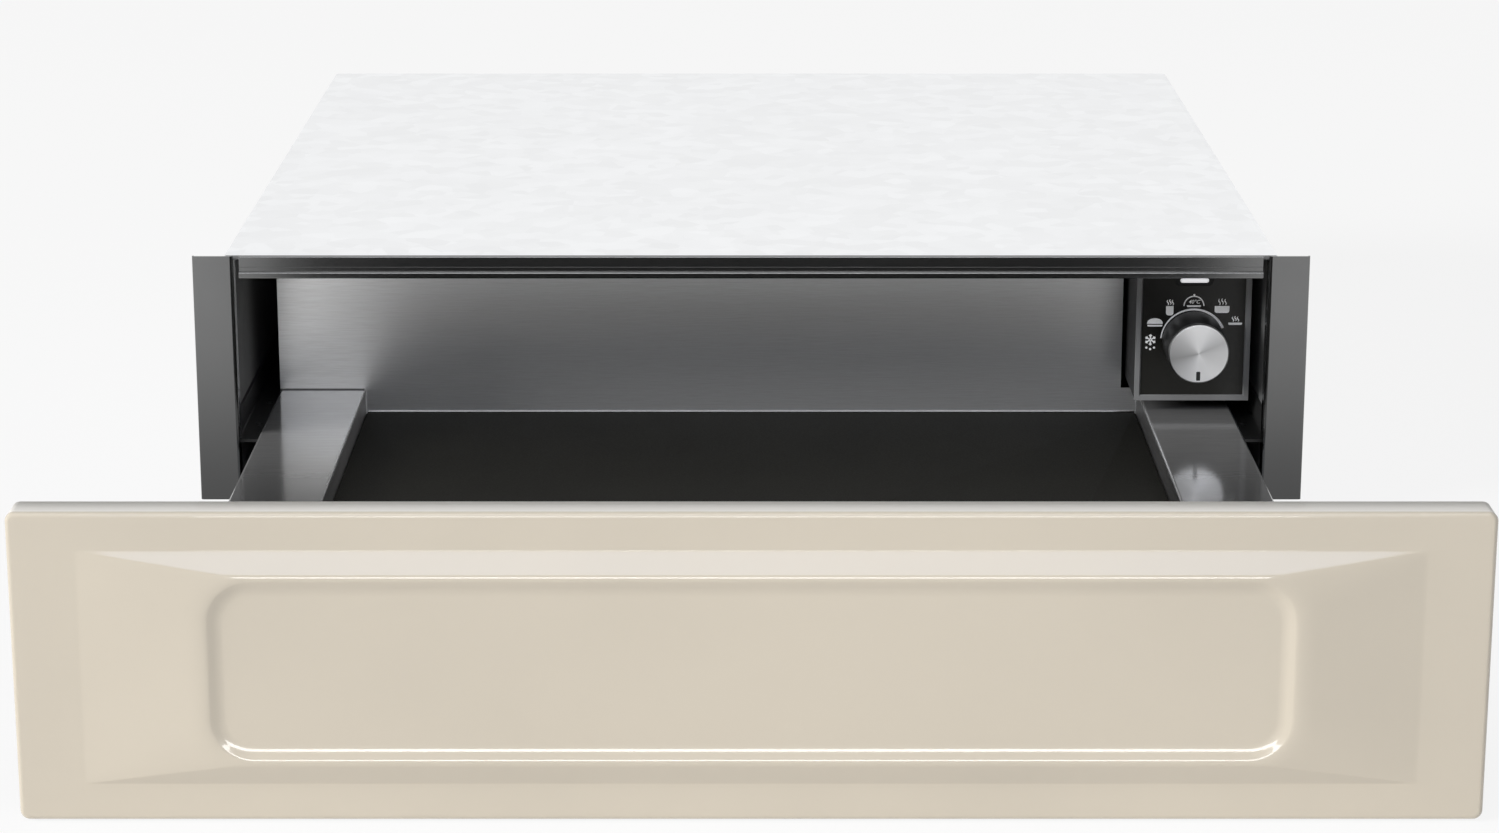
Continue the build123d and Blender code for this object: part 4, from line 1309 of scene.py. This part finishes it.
@dataclass
class PanHeadScrews:
    """Rows of pan-head screws with a cross recess."""

    head_radius: float = 3.6
    head_height: float = 1.8
    skirt_share: float = 0.45
    crown: float = 0.74
    head_sides: int = 28
    shank_radius: float = 1.75
    shank_sides: int = 20
    recess_length: float = 3.6
    recess_width: float = 0.7
    recess_depth: float = 1.1

    def shape(self, shank_length: float) -> NodeShape:
        """Make the tree that puts a screw on each point, its head towards the aim.

        Args:
            shank_length: How deep the screws go.

        Returns:
            The tree.
        """
        shape = NodeShape("pan_head_screws")
        radius = shape.size("Head radius", self.head_radius * MM)
        height = shape.size("Head height", self.head_height * MM)
        crown = shape.size("Crown", self.crown)
        shank_radius = shape.size("Shank radius", self.shank_radius * MM)
        shank = shape.size("Shank length", shank_length * MM)
        length = shape.size("Recess length", self.recess_length * MM)
        width = shape.size("Recess width", self.recess_width * MM)
        depth = shape.size("Recess depth", self.recess_depth * MM)
        skirt_height = shape.maths("MULTIPLY", height, self.skirt_share)
        dome_height = shape.maths("SUBTRACT", height, skirt_height)
        top = shape.maths("MULTIPLY", radius, crown)
        rim = {"vertices": self.head_sides, "radius_bottom": radius}
        skirt = shape.solid("Cone", radius_top=radius, depth=skirt_height, **rim)
        dome = shape.solid("Cone", radius_top=top, depth=dome_height, **rim)
        dome = shape.raised(dome, skirt_height)
        stem = shape.solid("Cylinder", vertices=self.shank_sides, radius=shank_radius, depth=shank)
        stem = shape.raised(stem, shape.maths("MULTIPLY", shank, -0.5))
        tall = shape.maths("MULTIPLY", depth, 2.0)
        sizes = (shape.vector(length, width, tall), shape.vector(width, length, tall))
        bars = [shape.raised(shape.solid("Cube", size=size), height) for size in sizes]
        screw = shape.boolean("UNION", {1: [skirt, dome, stem]})
        screw = shape.boolean("DIFFERENCE", {0: screw, 1: bars})
        attribute = {"data_type": "FLOAT_VECTOR"}
        aim = shape.node("GeometryNodeInputNamedAttribute", attribute, {"Name": "aim"})
        turn = shape.node("FunctionNodeAlignRotationToVector", {"axis": "Z"}, {"Vector": aim})
        inputs = {"Points": shape.entry.outputs["Geometry"], "Instance": screw, "Rotation": turn}
        placed = shape.node("GeometryNodeInstanceOnPoints", inputs=inputs)
        shape.finish(placed, Palette.screws.material())
        return shape

    def drive(
        self, node: str, body: str, shank_length: float, places: Sequence[tuple[Point, Point]]
    ) -> None:
        """Put a screw on each place instead of the plain solids of a node.

        Args:
            node: The node that holds the plain screws.
            body: The body that they ride on.
            shank_length: How deep they go.
            places: The place under each head and the way out of it.
        """
        piece = self.shape(shank_length).run(f"{node}_cross_head", places)
        settle(piece, Palette.screws, body, [node])


def both_sides(
    x: float, rows: Sequence[float], levels: Sequence[float], aim: Point
) -> list[tuple[Point, Point]]:
    """Places for screws, mirrored from the right side to the left.

    Args:
        x: Their distance from the middle.
        rows: Their places along Y.
        levels: Their heights.
        aim: The way out of the right-hand ones.

    Returns:
        The place and the way out of each, the left ones first.
    """
    return [
        ((side * x, y, z), (side * aim[0], aim[1], aim[2]))
        for side in SIDES.values()
        for y in rows
        for z in levels
    ]


# Sub-assemblies


@dataclass
class DrawerFront:
    """The enamelled front: a rim, sloping facets, a ridge and the sunken field inside it."""

    half_width: float = 298.5
    half_height: float = 65.5
    middle_z: float = 66.5
    back_y: float = -412.8
    face_y: float = -428.8
    wall: float = 0.9
    corner: float = 4.0
    edge_round: float = 2.0
    edge_steps: int = 8
    rim_inset: float = 3.0
    rim_corner: float = 2.2
    border: Flat = (28.0, 16.0)
    facet: Flat = (50.0, 10.0)
    facet_rows: tuple[float, ...] = (0.2, 0.4, 0.6, 0.8)
    foot_corner: float = 0.8
    foot_bend: Flat = (0.965, 0.04)
    foot_steps: int = 4
    rise: float = 5.0
    ridge_corner: float = 19.0
    crest: float = 0.3
    crest_round: float = 2.0
    crest_steps: int = 16
    toe: float = 6.2
    toe_round: float = 2.2
    toe_steps: int = 12
    field_step: float = 2.0
    crease: float = 50.0

    def ring(self, inset: Flat, radius: float, rise: float) -> list[Point]:
        """A ring drawn in from the rim by inset (x, z) and raised off the face."""
        half = (self.half_width - inset[0], self.half_height - inset[1])
        return rounded_ring(half, radius, self.face_y - rise, (0.0, self.middle_z))

    def rim_rings(self) -> list[list[Point]]:
        """The return wall and its rounded edge.

        Returns:
            The rings, from the back to the face.
        """
        rings = [self.ring((0.0, 0.0), self.corner, self.face_y - self.back_y)]
        for inset, drop in rounded_edge(self.edge_round, self.edge_steps):
            rings.append(self.ring((inset, inset), self.corner - inset, -drop))
        return rings

    def relief_rings(self) -> list[list[Point]]:
        """The border, the facets, the ridge and the slope down to the field.

        Returns:
            The rings, from the rim to the field.
        """
        foot = (*self.border, self.foot_corner, 0.0)
        ridge = (self.border[0] + self.facet[0], self.border[1] + self.facet[1])
        floor = self.rise - self.field_step

        def inwards(distance: float, rise: float) -> tuple[float, ...]:
            """A ring inside the facets by a distance."""
            return (ridge[0] + distance, ridge[1] + distance, self.ridge_corner - distance, rise)

        brink = inwards(0.0, self.rise)
        knee = inwards(self.crest, self.rise + self.crest * self.rise / self.facet[1])
        toe = inwards(self.toe, floor)
        slope = self.toe - self.crest
        field = inwards(self.toe + self.toe_round, floor)
        rim = (self.rim_inset, self.rim_inset, self.rim_corner, 0.0)
        rows = [rim, between(rim, foot, 0.5)]
        before, after = self.foot_bend
        rows += bend(between(rim, foot, before), foot, between(foot, brink, after), self.foot_steps)
        rows += [between(foot, brink, share) for share in self.facet_rows]
        start = between(foot, brink, 1 - (self.crest_round - self.crest) / self.facet[1])
        rows += bend(start, knee, between(knee, toe, self.crest_round / slope), self.crest_steps)
        start = between(knee, toe, 1 - self.toe_round / slope)
        rows += bend(start, toe, field, self.toe_steps)
        rows += [inwards(self.toe + 2 * self.toe_round, floor)]
        return [self.ring(row[:2], row[2], row[3]) for row in rows]

    def build(self) -> None:
        """Make the pressed skin with its wall and dress what lies behind it."""
        form = Form()
        outer = self.rim_rings() + self.relief_rings()
        form.loft(outer, close=False)
        form.mesh.verts.ensure_lookup_table()
        form.mesh.faces.new(form.mesh.verts[-len(outer[-1]) :])
        skin = thickened(form.data("front_skin", self.crease), self.wall)
        piece = bpy.data.objects.new("front_skin", skin)
        settle(piece, Palette.enamel, "drawer", ["front_panel"])
        dress(Palette.liner, "front_liner", *pair("front_stiffener"))


@dataclass
class Tray:
    """The stainless tray with its mat, its back wall and the runners under its ledges."""

    mat_half_width: float = 207.5
    mat_front: float = -411.8
    mat_back: float = 88.0
    mat_bottom: float = 31.5
    mat_thickness: float = 2.0
    mat_corner: float = 3.0
    mat_round: float = 0.6
    mat_round_steps: int = 4
    mat_foot: float = 0.3

    def mat(self) -> None:
        """The mat, with softly rounded edges."""
        half_length = (self.mat_back - self.mat_front) / 2
        middle = (0.0, (self.mat_back + self.mat_front) / 2)
        levels = [(self.mat_foot, 0.0), (0.0, self.mat_foot)]
        for inset, drop in rounded_edge(self.mat_round, self.mat_round_steps):
            levels.append((inset, self.mat_thickness - drop))
        rings = []
        for inset, rise in levels:
            half = (self.mat_half_width - inset, half_length - inset)
            flat = rounded_ring(half, self.mat_corner - inset, 0.0, middle)
            rings.append([(x, z, self.mat_bottom + rise) for x, _, z in flat])
        Form().loft(rings).piece("silicone_mat", Palette.mat, "drawer", "mat", ["tray_mat"])

    def build(self) -> None:
        """Make the mat and dress the metal."""
        self.mat()
        dress(Palette.tray, "tray")
        dress(Palette.tray_back, "drawer_back")
        dress(Palette.slides, *pair("tray_runner", "front_bracket"), "latch_striker")


@dataclass
class Slides:
    """The ball slides and the screws that hold them."""

    rail_front: float = 15.0
    rail_length: float = 450.0
    rail_z: float = 21.5
    carrier_face: float = 252.2
    carrier_shank: float = 3.0
    runner_face: float = 236.5
    runner_shank: float = 2.7
    travel: float = 405.0
    screw_inset: float = 25.0
    runner_screw_inset: float = 60.0
    front_back: float = -412.8
    bracket_wall: float = 1.5
    front_screw_inset: float = 12.0
    front_screw_levels: Flat = (14.5, 34.5)
    front_shank: float = 5.0

    def build(self) -> None:
        """Dress the members and drive their screws."""
        dress(Palette.carrier_paint, *pair("rail_carrier"))
        dress(Palette.slides, *pair("rail_outer", "rail_middle", "rail_inner"))
        dress(Palette.balls, *pair("outer_ball_cage", "inner_ball_cage"))
        screws = PanHeadScrews()
        middle, last = self.rail_length / 2, self.rail_length - self.screw_inset
        rows = [self.rail_front + way for way in (self.screw_inset, middle, last)]
        places = both_sides(self.carrier_face, rows, [self.rail_z], (1, 0, 0))
        screws.drive("carrier_screws", "housing", self.carrier_shank, places)
        open_front = self.rail_front - self.travel
        rows = [open_front + way for way in (self.runner_screw_inset, middle, last)]
        places = both_sides(self.runner_face, rows, [self.rail_z], (-1, 0, 0))
        screws.drive("runner_screws", "drawer", self.runner_shank, places)
        x = self.runner_face - self.bracket_wall - self.front_screw_inset
        y = self.front_back + self.bracket_wall
        places = both_sides(x, [y], self.front_screw_levels, (0, 1, 0))
        screws.drive("front_screws", "drawer", self.front_shank, places)


@dataclass
class Casing:
    """The sheet-steel casing and its screws."""

    half_width: float = 270.0
    depth: float = 540.0
    height: float = 139.0
    flange: float = 15.0
    sheet: float = 1.0
    rear_flange: float = 12.0
    inset: float = 60.0
    rear_levels: Point = (35.0, 70.0, 105.0)
    shank: float = 5.0

    def build(self) -> None:
        """Dress the sheets and drive the casing's screws."""
        dress(Palette.casing, "base_pan", "rear_panel", "air_baffle", *pair("side_panel"))
        dress(Palette.lid, "top_cover")
        rows = (self.inset, self.depth / 2, self.depth - self.inset)
        levels = (self.flange / 2, self.height - self.flange / 2)
        places = both_sides(self.half_width, rows, levels, (1, 0, 0))
        rear_y = self.depth - self.sheet - self.rear_flange / 2
        places += both_sides(self.half_width - self.sheet, [rear_y], self.rear_levels, (1, 0, 0))
        PanHeadScrews().drive("casing_screws", "housing", self.shank, places)


@dataclass
class FrontFrame:
    """The painted posts and the bar over the opening."""

    def build(self) -> None:
        """Dress the posts and the bar."""
        dress(Palette.frame_paint, *pair("post"), "top_bar")


@dataclass(frozen=True)
class Vessel:
    """A beaker, a pot or a plate of the print, and the steam over it."""

    middle: Flat
    width: float
    height: float
    corner: float
    steam_middle: Flat
    steam_height: float
    steam_offsets: Point = (-1.2, 0.1, 1.4)


@dataclass
class DialPrint:
    """The white print on the fascia: a swelling arc and the pictograms round it."""

    centre: Flat = (232.0, 84.2)
    front: float = 44.2
    film: float = 0.06
    disc_steps: int = 18
    arc_radius: float = 16.9
    arc_ends: Flat = (-85.0, 66.0)
    arc_widths: Flat = (0.6, 1.3)
    arc_steps: int = 60
    steam_sway: float = 0.42
    steam_stagger: float = 0.3
    steam_width: float = 0.26
    steam_swell: float = 0.3
    steam_steps: int = 12
    flake_middle: Flat = (-22.3, 0.5)
    flake_arm: Flat = (0.25, 3.0)
    flake_arm_width: float = 0.72
    flake_fork: float = 1.9
    flake_barb: float = 0.95
    flake_barb_width: float = 0.62
    flake_lean: float = 50.0
    flake_drops: tuple[Flat, ...] = ((-2.0, -4.2), (0.0, -5.0), (2.0, -4.2))
    flake_drop_radius: float = 0.62
    bun_middle: Flat = (-20.2, 9.7)
    bun_half: float = 4.1
    bun_height: float = 3.0
    bun_square: float = 0.8
    bun_dome_z: float = -0.55
    bun_steps: int = 20
    bun_base_half: float = 3.6
    bun_base_z: Flat = (-1.1, -2.0)
    corner_steps: int = 6
    cup: Vessel = Vessel((-12.6, 16.2), 3.9, 5.0, 1.4, (-12.5, 20.9), 2.8)
    bowl: Vessel = Vessel((14.75, 16.9), 7.7, 3.7, 1.2, (14.8, 21.2), 3.2, (-1.5, 0.1, 1.7))
    plate: Vessel = Vessel((21.9, 9.2), 7.2, 1.2, 0.55, (21.9, 12.0), 2.6)
    cover_middle: Flat = (0.0, 18.8)
    cover_radius: float = 5.2
    cover_width: float = 0.6
    cover_steps: int = 24
    cover_knob: Flat = (5.9, 0.55)
    dish_drop: float = 0.1
    dish: Point = (7.4, 0.9, 0.4)
    figures_middle: Flat = (0.1, 20.95)
    figures_size: float = 2.8
    figures_slant: float = 0.2
    figures_weight: float = 0.03
    figures_steps: int = 3
    figures_weld: float = 1e-4

    def __post_init__(self) -> None:
        """Start an empty print."""
        self.form = Form()

    def fill(self, outline: Sequence[Flat]) -> None:
        """Print a filled outline, given round the dial's centre."""
        points = [(self.centre[0] + x, self.centre[1] + z) for x, z in outline]
        self.form.plate(points, self.front - self.film, self.front)

    def stroke(self, points: Sequence[Flat], widths: Sequence[float]) -> None:
        """Print a line whose width changes from point to point.

        Args:
            points: The line's points, given round the dial's centre.
            widths: Its width at each of them.
        """
        sides: tuple[list[Flat], list[Flat]] = ([], [])
        for number, (x, z) in enumerate(points):
            before, after = points[max(number - 1, 0)], points[min(number + 1, len(points) - 1)]
            run = Vector((after[0] - before[0], after[1] - before[1])).normalized()
            for side, way in zip(sides, (1, -1)):
                reach = way * widths[number] / 2
                side.append((x - run.y * reach, z + run.x * reach))
        self.fill(sides[0] + sides[1][::-1])

    def line(self, points: Sequence[Flat], width: float) -> None:
        """Print a line of even width."""
        self.stroke(points, [width] * len(points))

    def disc(self, middle: Flat, radius: float) -> None:
        """Print a dot."""
        turns = [math.tau * step / self.disc_steps for step in range(self.disc_steps)]
        self.fill([on_circle(middle, radius, turn) for turn in turns])

    def arc(self) -> None:
        """The arc that swells from cool to hot, its ends in degrees clockwise from the top."""
        points, widths = [], []
        for step in range(self.arc_steps + 1):
            turn, width = between(*zip(self.arc_ends, self.arc_widths), step / self.arc_steps)
            points.append(on_circle((0.0, 0.0), self.arc_radius, math.radians(90.0 - turn)))
            widths.append(width)
        self.stroke(points, widths)

    def snowflake(self) -> None:
        """Six arms with side barbs, and three drops below."""
        for number in range(6):
            turn = math.radians(30 + 60 * number)
            arm = [on_circle(self.flake_middle, reach, turn) for reach in self.flake_arm]
            self.line(arm, self.flake_arm_width)
            fork = on_circle(self.flake_middle, self.flake_fork, turn)
            for lean in (-self.flake_lean, self.flake_lean):
                barb = on_circle(fork, self.flake_barb, turn + math.radians(lean))
                self.line([fork, barb], self.flake_barb_width)
        for x, z in self.flake_drops:
            middle = (self.flake_middle[0] + x, self.flake_middle[1] + z)
            self.disc(middle, self.flake_drop_radius)

    def bun(self) -> None:
        """A bun in two halves."""
        x, z = self.bun_middle
        dome = []
        for step in range(self.bun_steps + 1):
            turn = math.pi * step / self.bun_steps
            height = self.bun_height * math.sin(turn) ** self.bun_square
            dome.append((x + self.bun_half * math.cos(turn), z + self.bun_dome_z + height))
        self.fill(dome)
        half, base_half = self.bun_half, self.bun_base_half
        top, bottom = (z + level for level in self.bun_base_z)
        self.fill([(x - half, top), (x - base_half, bottom), (x + base_half, bottom), (x + half, top)])

    def vessel(self, middle: Flat, width: float, height: float, corner: float) -> None:
        """A beaker, pot or plate: straight sides and rounded lower corners.

        Args:
            middle: Its middle, given round the dial's centre.
            width: Its whole width.
            height: Its whole height.
            corner: The radius of its lower corners.
        """
        half_width, half_height = width / 2, height / 2
        points = [(middle[0] - half_width, middle[1] + half_height)]
        for side, start in ((-1, math.pi), (1, 1.5 * math.pi)):
            centre = (middle[0] + side * (half_width - corner), middle[1] - half_height + corner)
            for step in range(self.corner_steps + 1):
                turn = start + math.pi / 2 * step / self.corner_steps
                points.append(on_circle(centre, corner, turn))
        points.append((middle[0] + half_width, middle[1] + half_height))
        self.fill(points)

    def steaming(self, vessel: Vessel) -> None:
        """A vessel with wisps of steam over it.

        Args:
            vessel: The vessel.
        """
        self.vessel(vessel.middle, vessel.width, vessel.height, vessel.corner)
        shares = [step / self.steam_steps for step in range(self.steam_steps + 1)]
        widths = [self.steam_width + self.steam_swell * math.sin(math.pi * share) for share in shares]
        for number, offset in enumerate(vessel.steam_offsets):
            x = vessel.steam_middle[0] + offset
            z = vessel.steam_middle[1] - vessel.steam_height / 2
            z -= 0.0 if number % 2 else self.steam_stagger
            wisp = []
            for share in shares:
                sway = self.steam_sway * math.sin(math.tau * share)
                wisp.append((x + sway, z + vessel.steam_height * share))
            self.stroke(wisp, widths)

    def cover(self) -> None:
        """A domed cover over a dish, with room for the temperature under it."""
        x, z = self.cover_middle
        turns = [math.pi * step / self.cover_steps for step in range(self.cover_steps + 1)]
        dome = [on_circle(self.cover_middle, self.cover_radius, turn) for turn in turns]
        self.line(dome, self.cover_width)
        height, radius = self.cover_knob
        self.disc((x, z + height), radius)
        self.vessel((x, z - self.dish_drop), *self.dish)

    def figures(self, words: str) -> None:
        """Print slanted figures centred under the cover.

        Args:
            words: What they say.
        """
        curve = bpy.data.curves.new("dial_figures", "FONT")
        curve.body = words
        curve.align_x, curve.align_y = "CENTER", "CENTER"
        curve.size = self.figures_size
        curve.shear = self.figures_slant
        curve.offset = self.figures_weight
        curve.resolution_u = self.figures_steps
        flat = bmesh.new()
        flat.from_mesh(plain_mesh(bpy.data.objects.new("dial_figures_holder", curve)))
        bmesh.ops.remove_doubles(flat, verts=flat.verts, dist=self.figures_weld)
        x, z = self.figures_middle
        for face in flat.faces:
            self.fill([(vertex.co.x + x, vertex.co.y + z) for vertex in face.verts])
        flat.free()

    def build(self) -> None:
        """Print the whole dial."""
        self.arc()
        self.snowflake()
        self.bun()
        self.steaming(self.cup)
        self.cover()
        self.figures("40°C")
        self.steaming(self.bowl)
        self.steaming(self.plate)
        self.form.piece("dial_print", Palette.ink, "housing", "fascia_plastic")


@dataclass
class ControlBox:
    """The box with its dial, lamp and knob.

    The rows of the knob's outlines are (inset from its side, way from its back or its face).
    """

    knob_axis: Flat = (232.0, 84.0)
    skirt_back: float = 43.8
    skirt_front: float = 19.3
    face: float = 16.8
    skirt_radius: float = 16.4
    skirt_taper: float = 0.4
    skirt_foot: tuple[Flat, ...] = ((1.2, 0.0), (0.4, 0.3), (0.0, 1.2))
    skirt_crown: tuple[Flat, ...] = ((-0.03, 0.5), (0.12, 0.1), (0.3, 0.0))
    cap_radius: float = 15.8
    cap_rim: tuple[Flat, ...] = (
        (0.1, 2.5),
        (0.0, 2.3),
        (0.0, 0.7),
        (0.08, 0.55),
        (0.55, 0.08),
        (0.75, 0.0),
        (0.9, 0.0),
    )
    cap_circles: Point = (9.48, 3.16, 0.3)
    cap_steps: int = 128
    cap_crease: float = 25.0
    pointer_half: Flat = (1.05, 2.4)
    pointer_round: float = 0.5
    pointer_edge: float = 1.5
    pointer_proud: float = 0.05
    pointer_depth: float = 0.6
    lens_middle: Flat = (232.0, 116.7)
    lens_half: Flat = (7.55, 1.25)
    surround: Flat = (2.2, 1.5)
    surround_depth: float = 0.35
    surround_edges: Flat = (0.1, 0.25)
    surround_flats: Flat = (0.1, 0.35)
    fascia_front: float = 44.2

    def lens_surround(self) -> None:
        """The dark moulded ring round the lamp's lens."""
        front, back = self.fascia_front - self.surround_depth, self.fascia_front
        inner_edge, outer_edge = self.surround_edges
        inner_flat, outer_flat = self.surround_flats
        wide, high = (size + margin for size, margin in zip(self.lens_half, self.surround))
        hole = (*self.lens_half, self.lens_half[1] - inner_flat)
        rim = (wide, high, high - outer_flat)

        def grown(sizes: Point, margin: float) -> Point:
            """A ring's sizes and its corner, grown by a margin."""
            return tuple(size + margin for size in sizes)

        profile = [
            (hole, back),
            (hole, front + inner_edge),
            (grown(hole, inner_edge), front),
            (grown(rim, -outer_edge), front),
            (rim, front + outer_edge),
            (rim, back),
        ]
        rings = [rounded_ring(sizes[:2], sizes[2], y, self.lens_middle) for sizes, y in profile]
        form = Form().loft(rings + rings[:1], close=False)
        form.piece("lens_surround", Palette.surround, "housing", "fascia_plastic")

    def knob(self) -> None:
        """The skirt, the spun face and its inlay."""
        front_radius = self.skirt_radius - self.skirt_taper
        skirt = [(self.skirt_radius - inset, self.skirt_back - way) for inset, way in self.skirt_foot]
        skirt += [(front_radius - inset, self.skirt_front + way) for inset, way in self.skirt_crown]
        form = Form().lathe(skirt, self.knob_axis)
        form.piece("knob_body", Palette.knob_skirt, "knob", "knob_plastic", ["knob_skirt"])
        cap = [(self.cap_radius - inset, self.face + way) for inset, way in self.cap_rim]
        cap += [(radius, self.face) for radius in self.cap_circles]
        form = Form().lathe(cap, self.knob_axis, self.cap_steps)
        crease = self.cap_crease
        form.piece("knob_spun_face", Palette.knob_face, "knob", "knob_face", ["knob_cap"], crease)
        lower_edge = self.knob_axis[1] - self.cap_radius + self.pointer_edge
        middle = (self.knob_axis[0], lower_edge + self.pointer_half[1])
        levels = (self.face - self.pointer_proud, self.face + self.pointer_depth)
        form = Form()
        form.loft([rounded_ring(self.pointer_half, self.pointer_round, y, middle) for y in levels])
        form.piece("knob_mark", Palette.knob_inlay, "knob", "knob_inlay", ["knob_pointer"])

    def build(self) -> None:
        """Make the knob, the print and the lens's surround, and dress the rest."""
        self.knob()
        self.lens_surround()
        DialPrint().build()
        dress(Palette.box, "control_box")
        dress(Palette.bezel, "control_bezel")
        dress(Palette.fascia, "control_fascia")
        dress(Palette.lens, "indicator_lens")
        dress(Palette.board, "lamp_board")
        dress(Palette.thermostat, "thermostat")
        dress(Palette.spindle, "thermostat_spindle")


@dataclass
class AirHeater:
    """The fan, its motor, the heater and the cut-out behind the baffle."""

    motor_back: float = 540.0
    motor_z: float = 48.0
    motor_reach: float = 21.0
    shank: float = 5.0

    def build(self) -> None:
        """Dress the parts and drive the motor's screws."""
        dress(Palette.motor, "fan_motor")
        dress(Palette.winding, "motor_coil")
        dress(Palette.wheel, "fan_rotor")
        dress(Palette.heater, "heating_element")
        dress(Palette.hanger, "heater_brackets")
        dress(Palette.cutout, "thermal_cutout")
        levels = (self.motor_z - self.motor_reach, self.motor_z + self.motor_reach)
        places = both_sides(self.motor_reach, [self.motor_back], levels, (0, 1, 0))
        PanHeadScrews().drive("motor_screws", "housing", self.shank, places)


@dataclass
class Fittings:
    """The wiring, the mains entry and the push latch."""

    def build(self) -> None:
        """Dress the parts."""
        dress(Palette.gland, "mains_gland")
        dress(Palette.terminals, "terminal_block")
        dress(Palette.loom, "wiring_loom")
        dress(Palette.clips, "loom_clips")
        dress(Palette.latch, "latch_body")
        dress(Palette.plunger, "latch_plunger")


# Studio


@dataclass(frozen=True)
class Softbox:
    """A rectangular lamp in metres and watts, which glossy surfaces mirror or not."""

    name: str
    place: Point
    size: Flat
    power: float
    tint: Colour = (1.0, 1.0, 1.0)
    mirrored: bool = True

    def hang(self, target: Point) -> None:
        """Put the lamp up and aim it.

        Args:
            target: The place that it faces.
        """
        lamp = bpy.data.lights.new(self.name, "AREA")
        lamp.shape = "RECTANGLE"
        lamp.size, lamp.size_y = self.size
        lamp.energy = self.power
        lamp.color = self.tint
        holder = bpy.data.objects.new(self.name, lamp)
        holder.location = self.place
        holder.visible_glossy = self.mirrored
        way = Vector(target) - Vector(self.place)
        holder.rotation_euler = way.to_track_quat("-Z", "Y").to_euler()
        bpy.context.scene.collection.objects.link(holder)


@dataclass
class Studio:
    """A pale floor, soft light and the camera, in metres.

    The key stands far to the left, two boxes in front draw the ridge's lines, and one is above.
    """

    camera_place: Point = (-0.0008, -1.8476, 0.5584)
    camera_pitch: float = 0.266
    camera_reach: float = 50.0
    picture_width: float = 1499.0
    focal_pixels: float = 3713.2
    film_width: float = 36.0
    lamp_target: Point = (0.0, -0.42, 0.08)
    softboxes: tuple[Softbox, ...] = (
        Softbox("key", (-9.2, -4.0, 3.9), (4.4, 3.4), 1110.0, mirrored=False),
        Softbox("facet_box", (0.0, -2.6, 1.55), (1.5, 0.55), 4.8, (0.62, 0.74, 1.0)),
        Softbox("ridge_box", (0.0, -2.6, 0.25), (1.1, 0.34), 8.5),
        Softbox("top_box", (0.0, -0.95, 1.05), (1.5, 0.3), 2.8),
    )
    ambient: float = 0.15
    floor_tones: Flat = (0.86, 0.88)
    floor_glow: float = 0.87
    floor_half: float = 40.0
    floor_squares: int = 4

    def camera(self) -> None:
        """The camera, without shift, looking slightly down."""
        lens = bpy.data.cameras.new("photo_camera")
        lens.sensor_width = self.film_width
        lens.lens = self.focal_pixels / self.picture_width * self.film_width
        lens.clip_end = self.camera_reach
        holder = bpy.data.objects.new("photo_camera", lens)
        holder.location = self.camera_place
        holder.rotation_euler = (math.pi / 2 - self.camera_pitch, 0.0, 0.0)
        bpy.context.scene.collection.objects.link(holder)
        bpy.context.scene.camera = holder

    def lamps(self) -> None:
        """The lamps, aimed at the drawer's front."""
        for softbox in self.softboxes:
            softbox.hang(self.lamp_target)

    def world(self) -> None:
        """White where it is seen or mirrored, softer where it lights."""
        graph = Graph(bpy.data.worlds.new("studio_world"))
        strength = self.ambient + graph.seen() * (1.0 - self.ambient)
        inputs = {"Color": grey(1.0), "Strength": strength}
        bpy.context.scene.world = graph.finish(graph.node("ShaderNodeBackground", inputs=inputs))

    def floor(self) -> None:
        """A wide pale floor that keeps the shadow."""
        graph = Graph(bpy.data.materials.new("studio_floor"))
        cloud = graph.noise(graph.place(), scale=3.0, detail=2.0)
        colour = graph.mix(cloud.patches(), *(grey(tone) for tone in self.floor_tones))
        paper = graph.node("ShaderNodeBsdfDiffuse", inputs={"Color": colour})
        glow = graph.node("ShaderNodeEmission", inputs={"Color": grey(1.0), "Strength": 1.0})
        inputs = {0: graph.seen() * self.floor_glow, 1: paper, 2: glow}
        sheet = graph.finish(graph.node("ShaderNodeMixShader", inputs=inputs))
        mesh = bmesh.new()
        squares = {"x_segments": self.floor_squares, "y_segments": self.floor_squares}
        bmesh.ops.create_grid(mesh, size=self.floor_half, **squares)
        data = bpy.data.meshes.new("studio_floor")
        mesh.to_mesh(data)
        mesh.free()
        data.materials.append(sheet)
        floor = bpy.data.objects.new("studio_floor", data)
        bpy.context.scene.collection.objects.link(floor)

    def build(self) -> None:
        """Set the studio up."""
        self.camera()
        self.lamps()
        self.world()
        self.floor()
        bpy.context.scene.view_settings.view_transform = "Standard"


def main() -> None:
    """Build the studio and every sub-assembly."""
    logging.basicConfig(level=logging.INFO, format="%(message)s")
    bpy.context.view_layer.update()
    for part in (
        Studio(),
        Casing(),
        FrontFrame(),
        Slides(),
        DrawerFront(),
        Tray(),
        ControlBox(),
        AirHeater(),
        Fittings(),
    ):
        part.build()
        LOG.info("%s built", type(part).__name__)


if __name__ == "__main__":
    main()
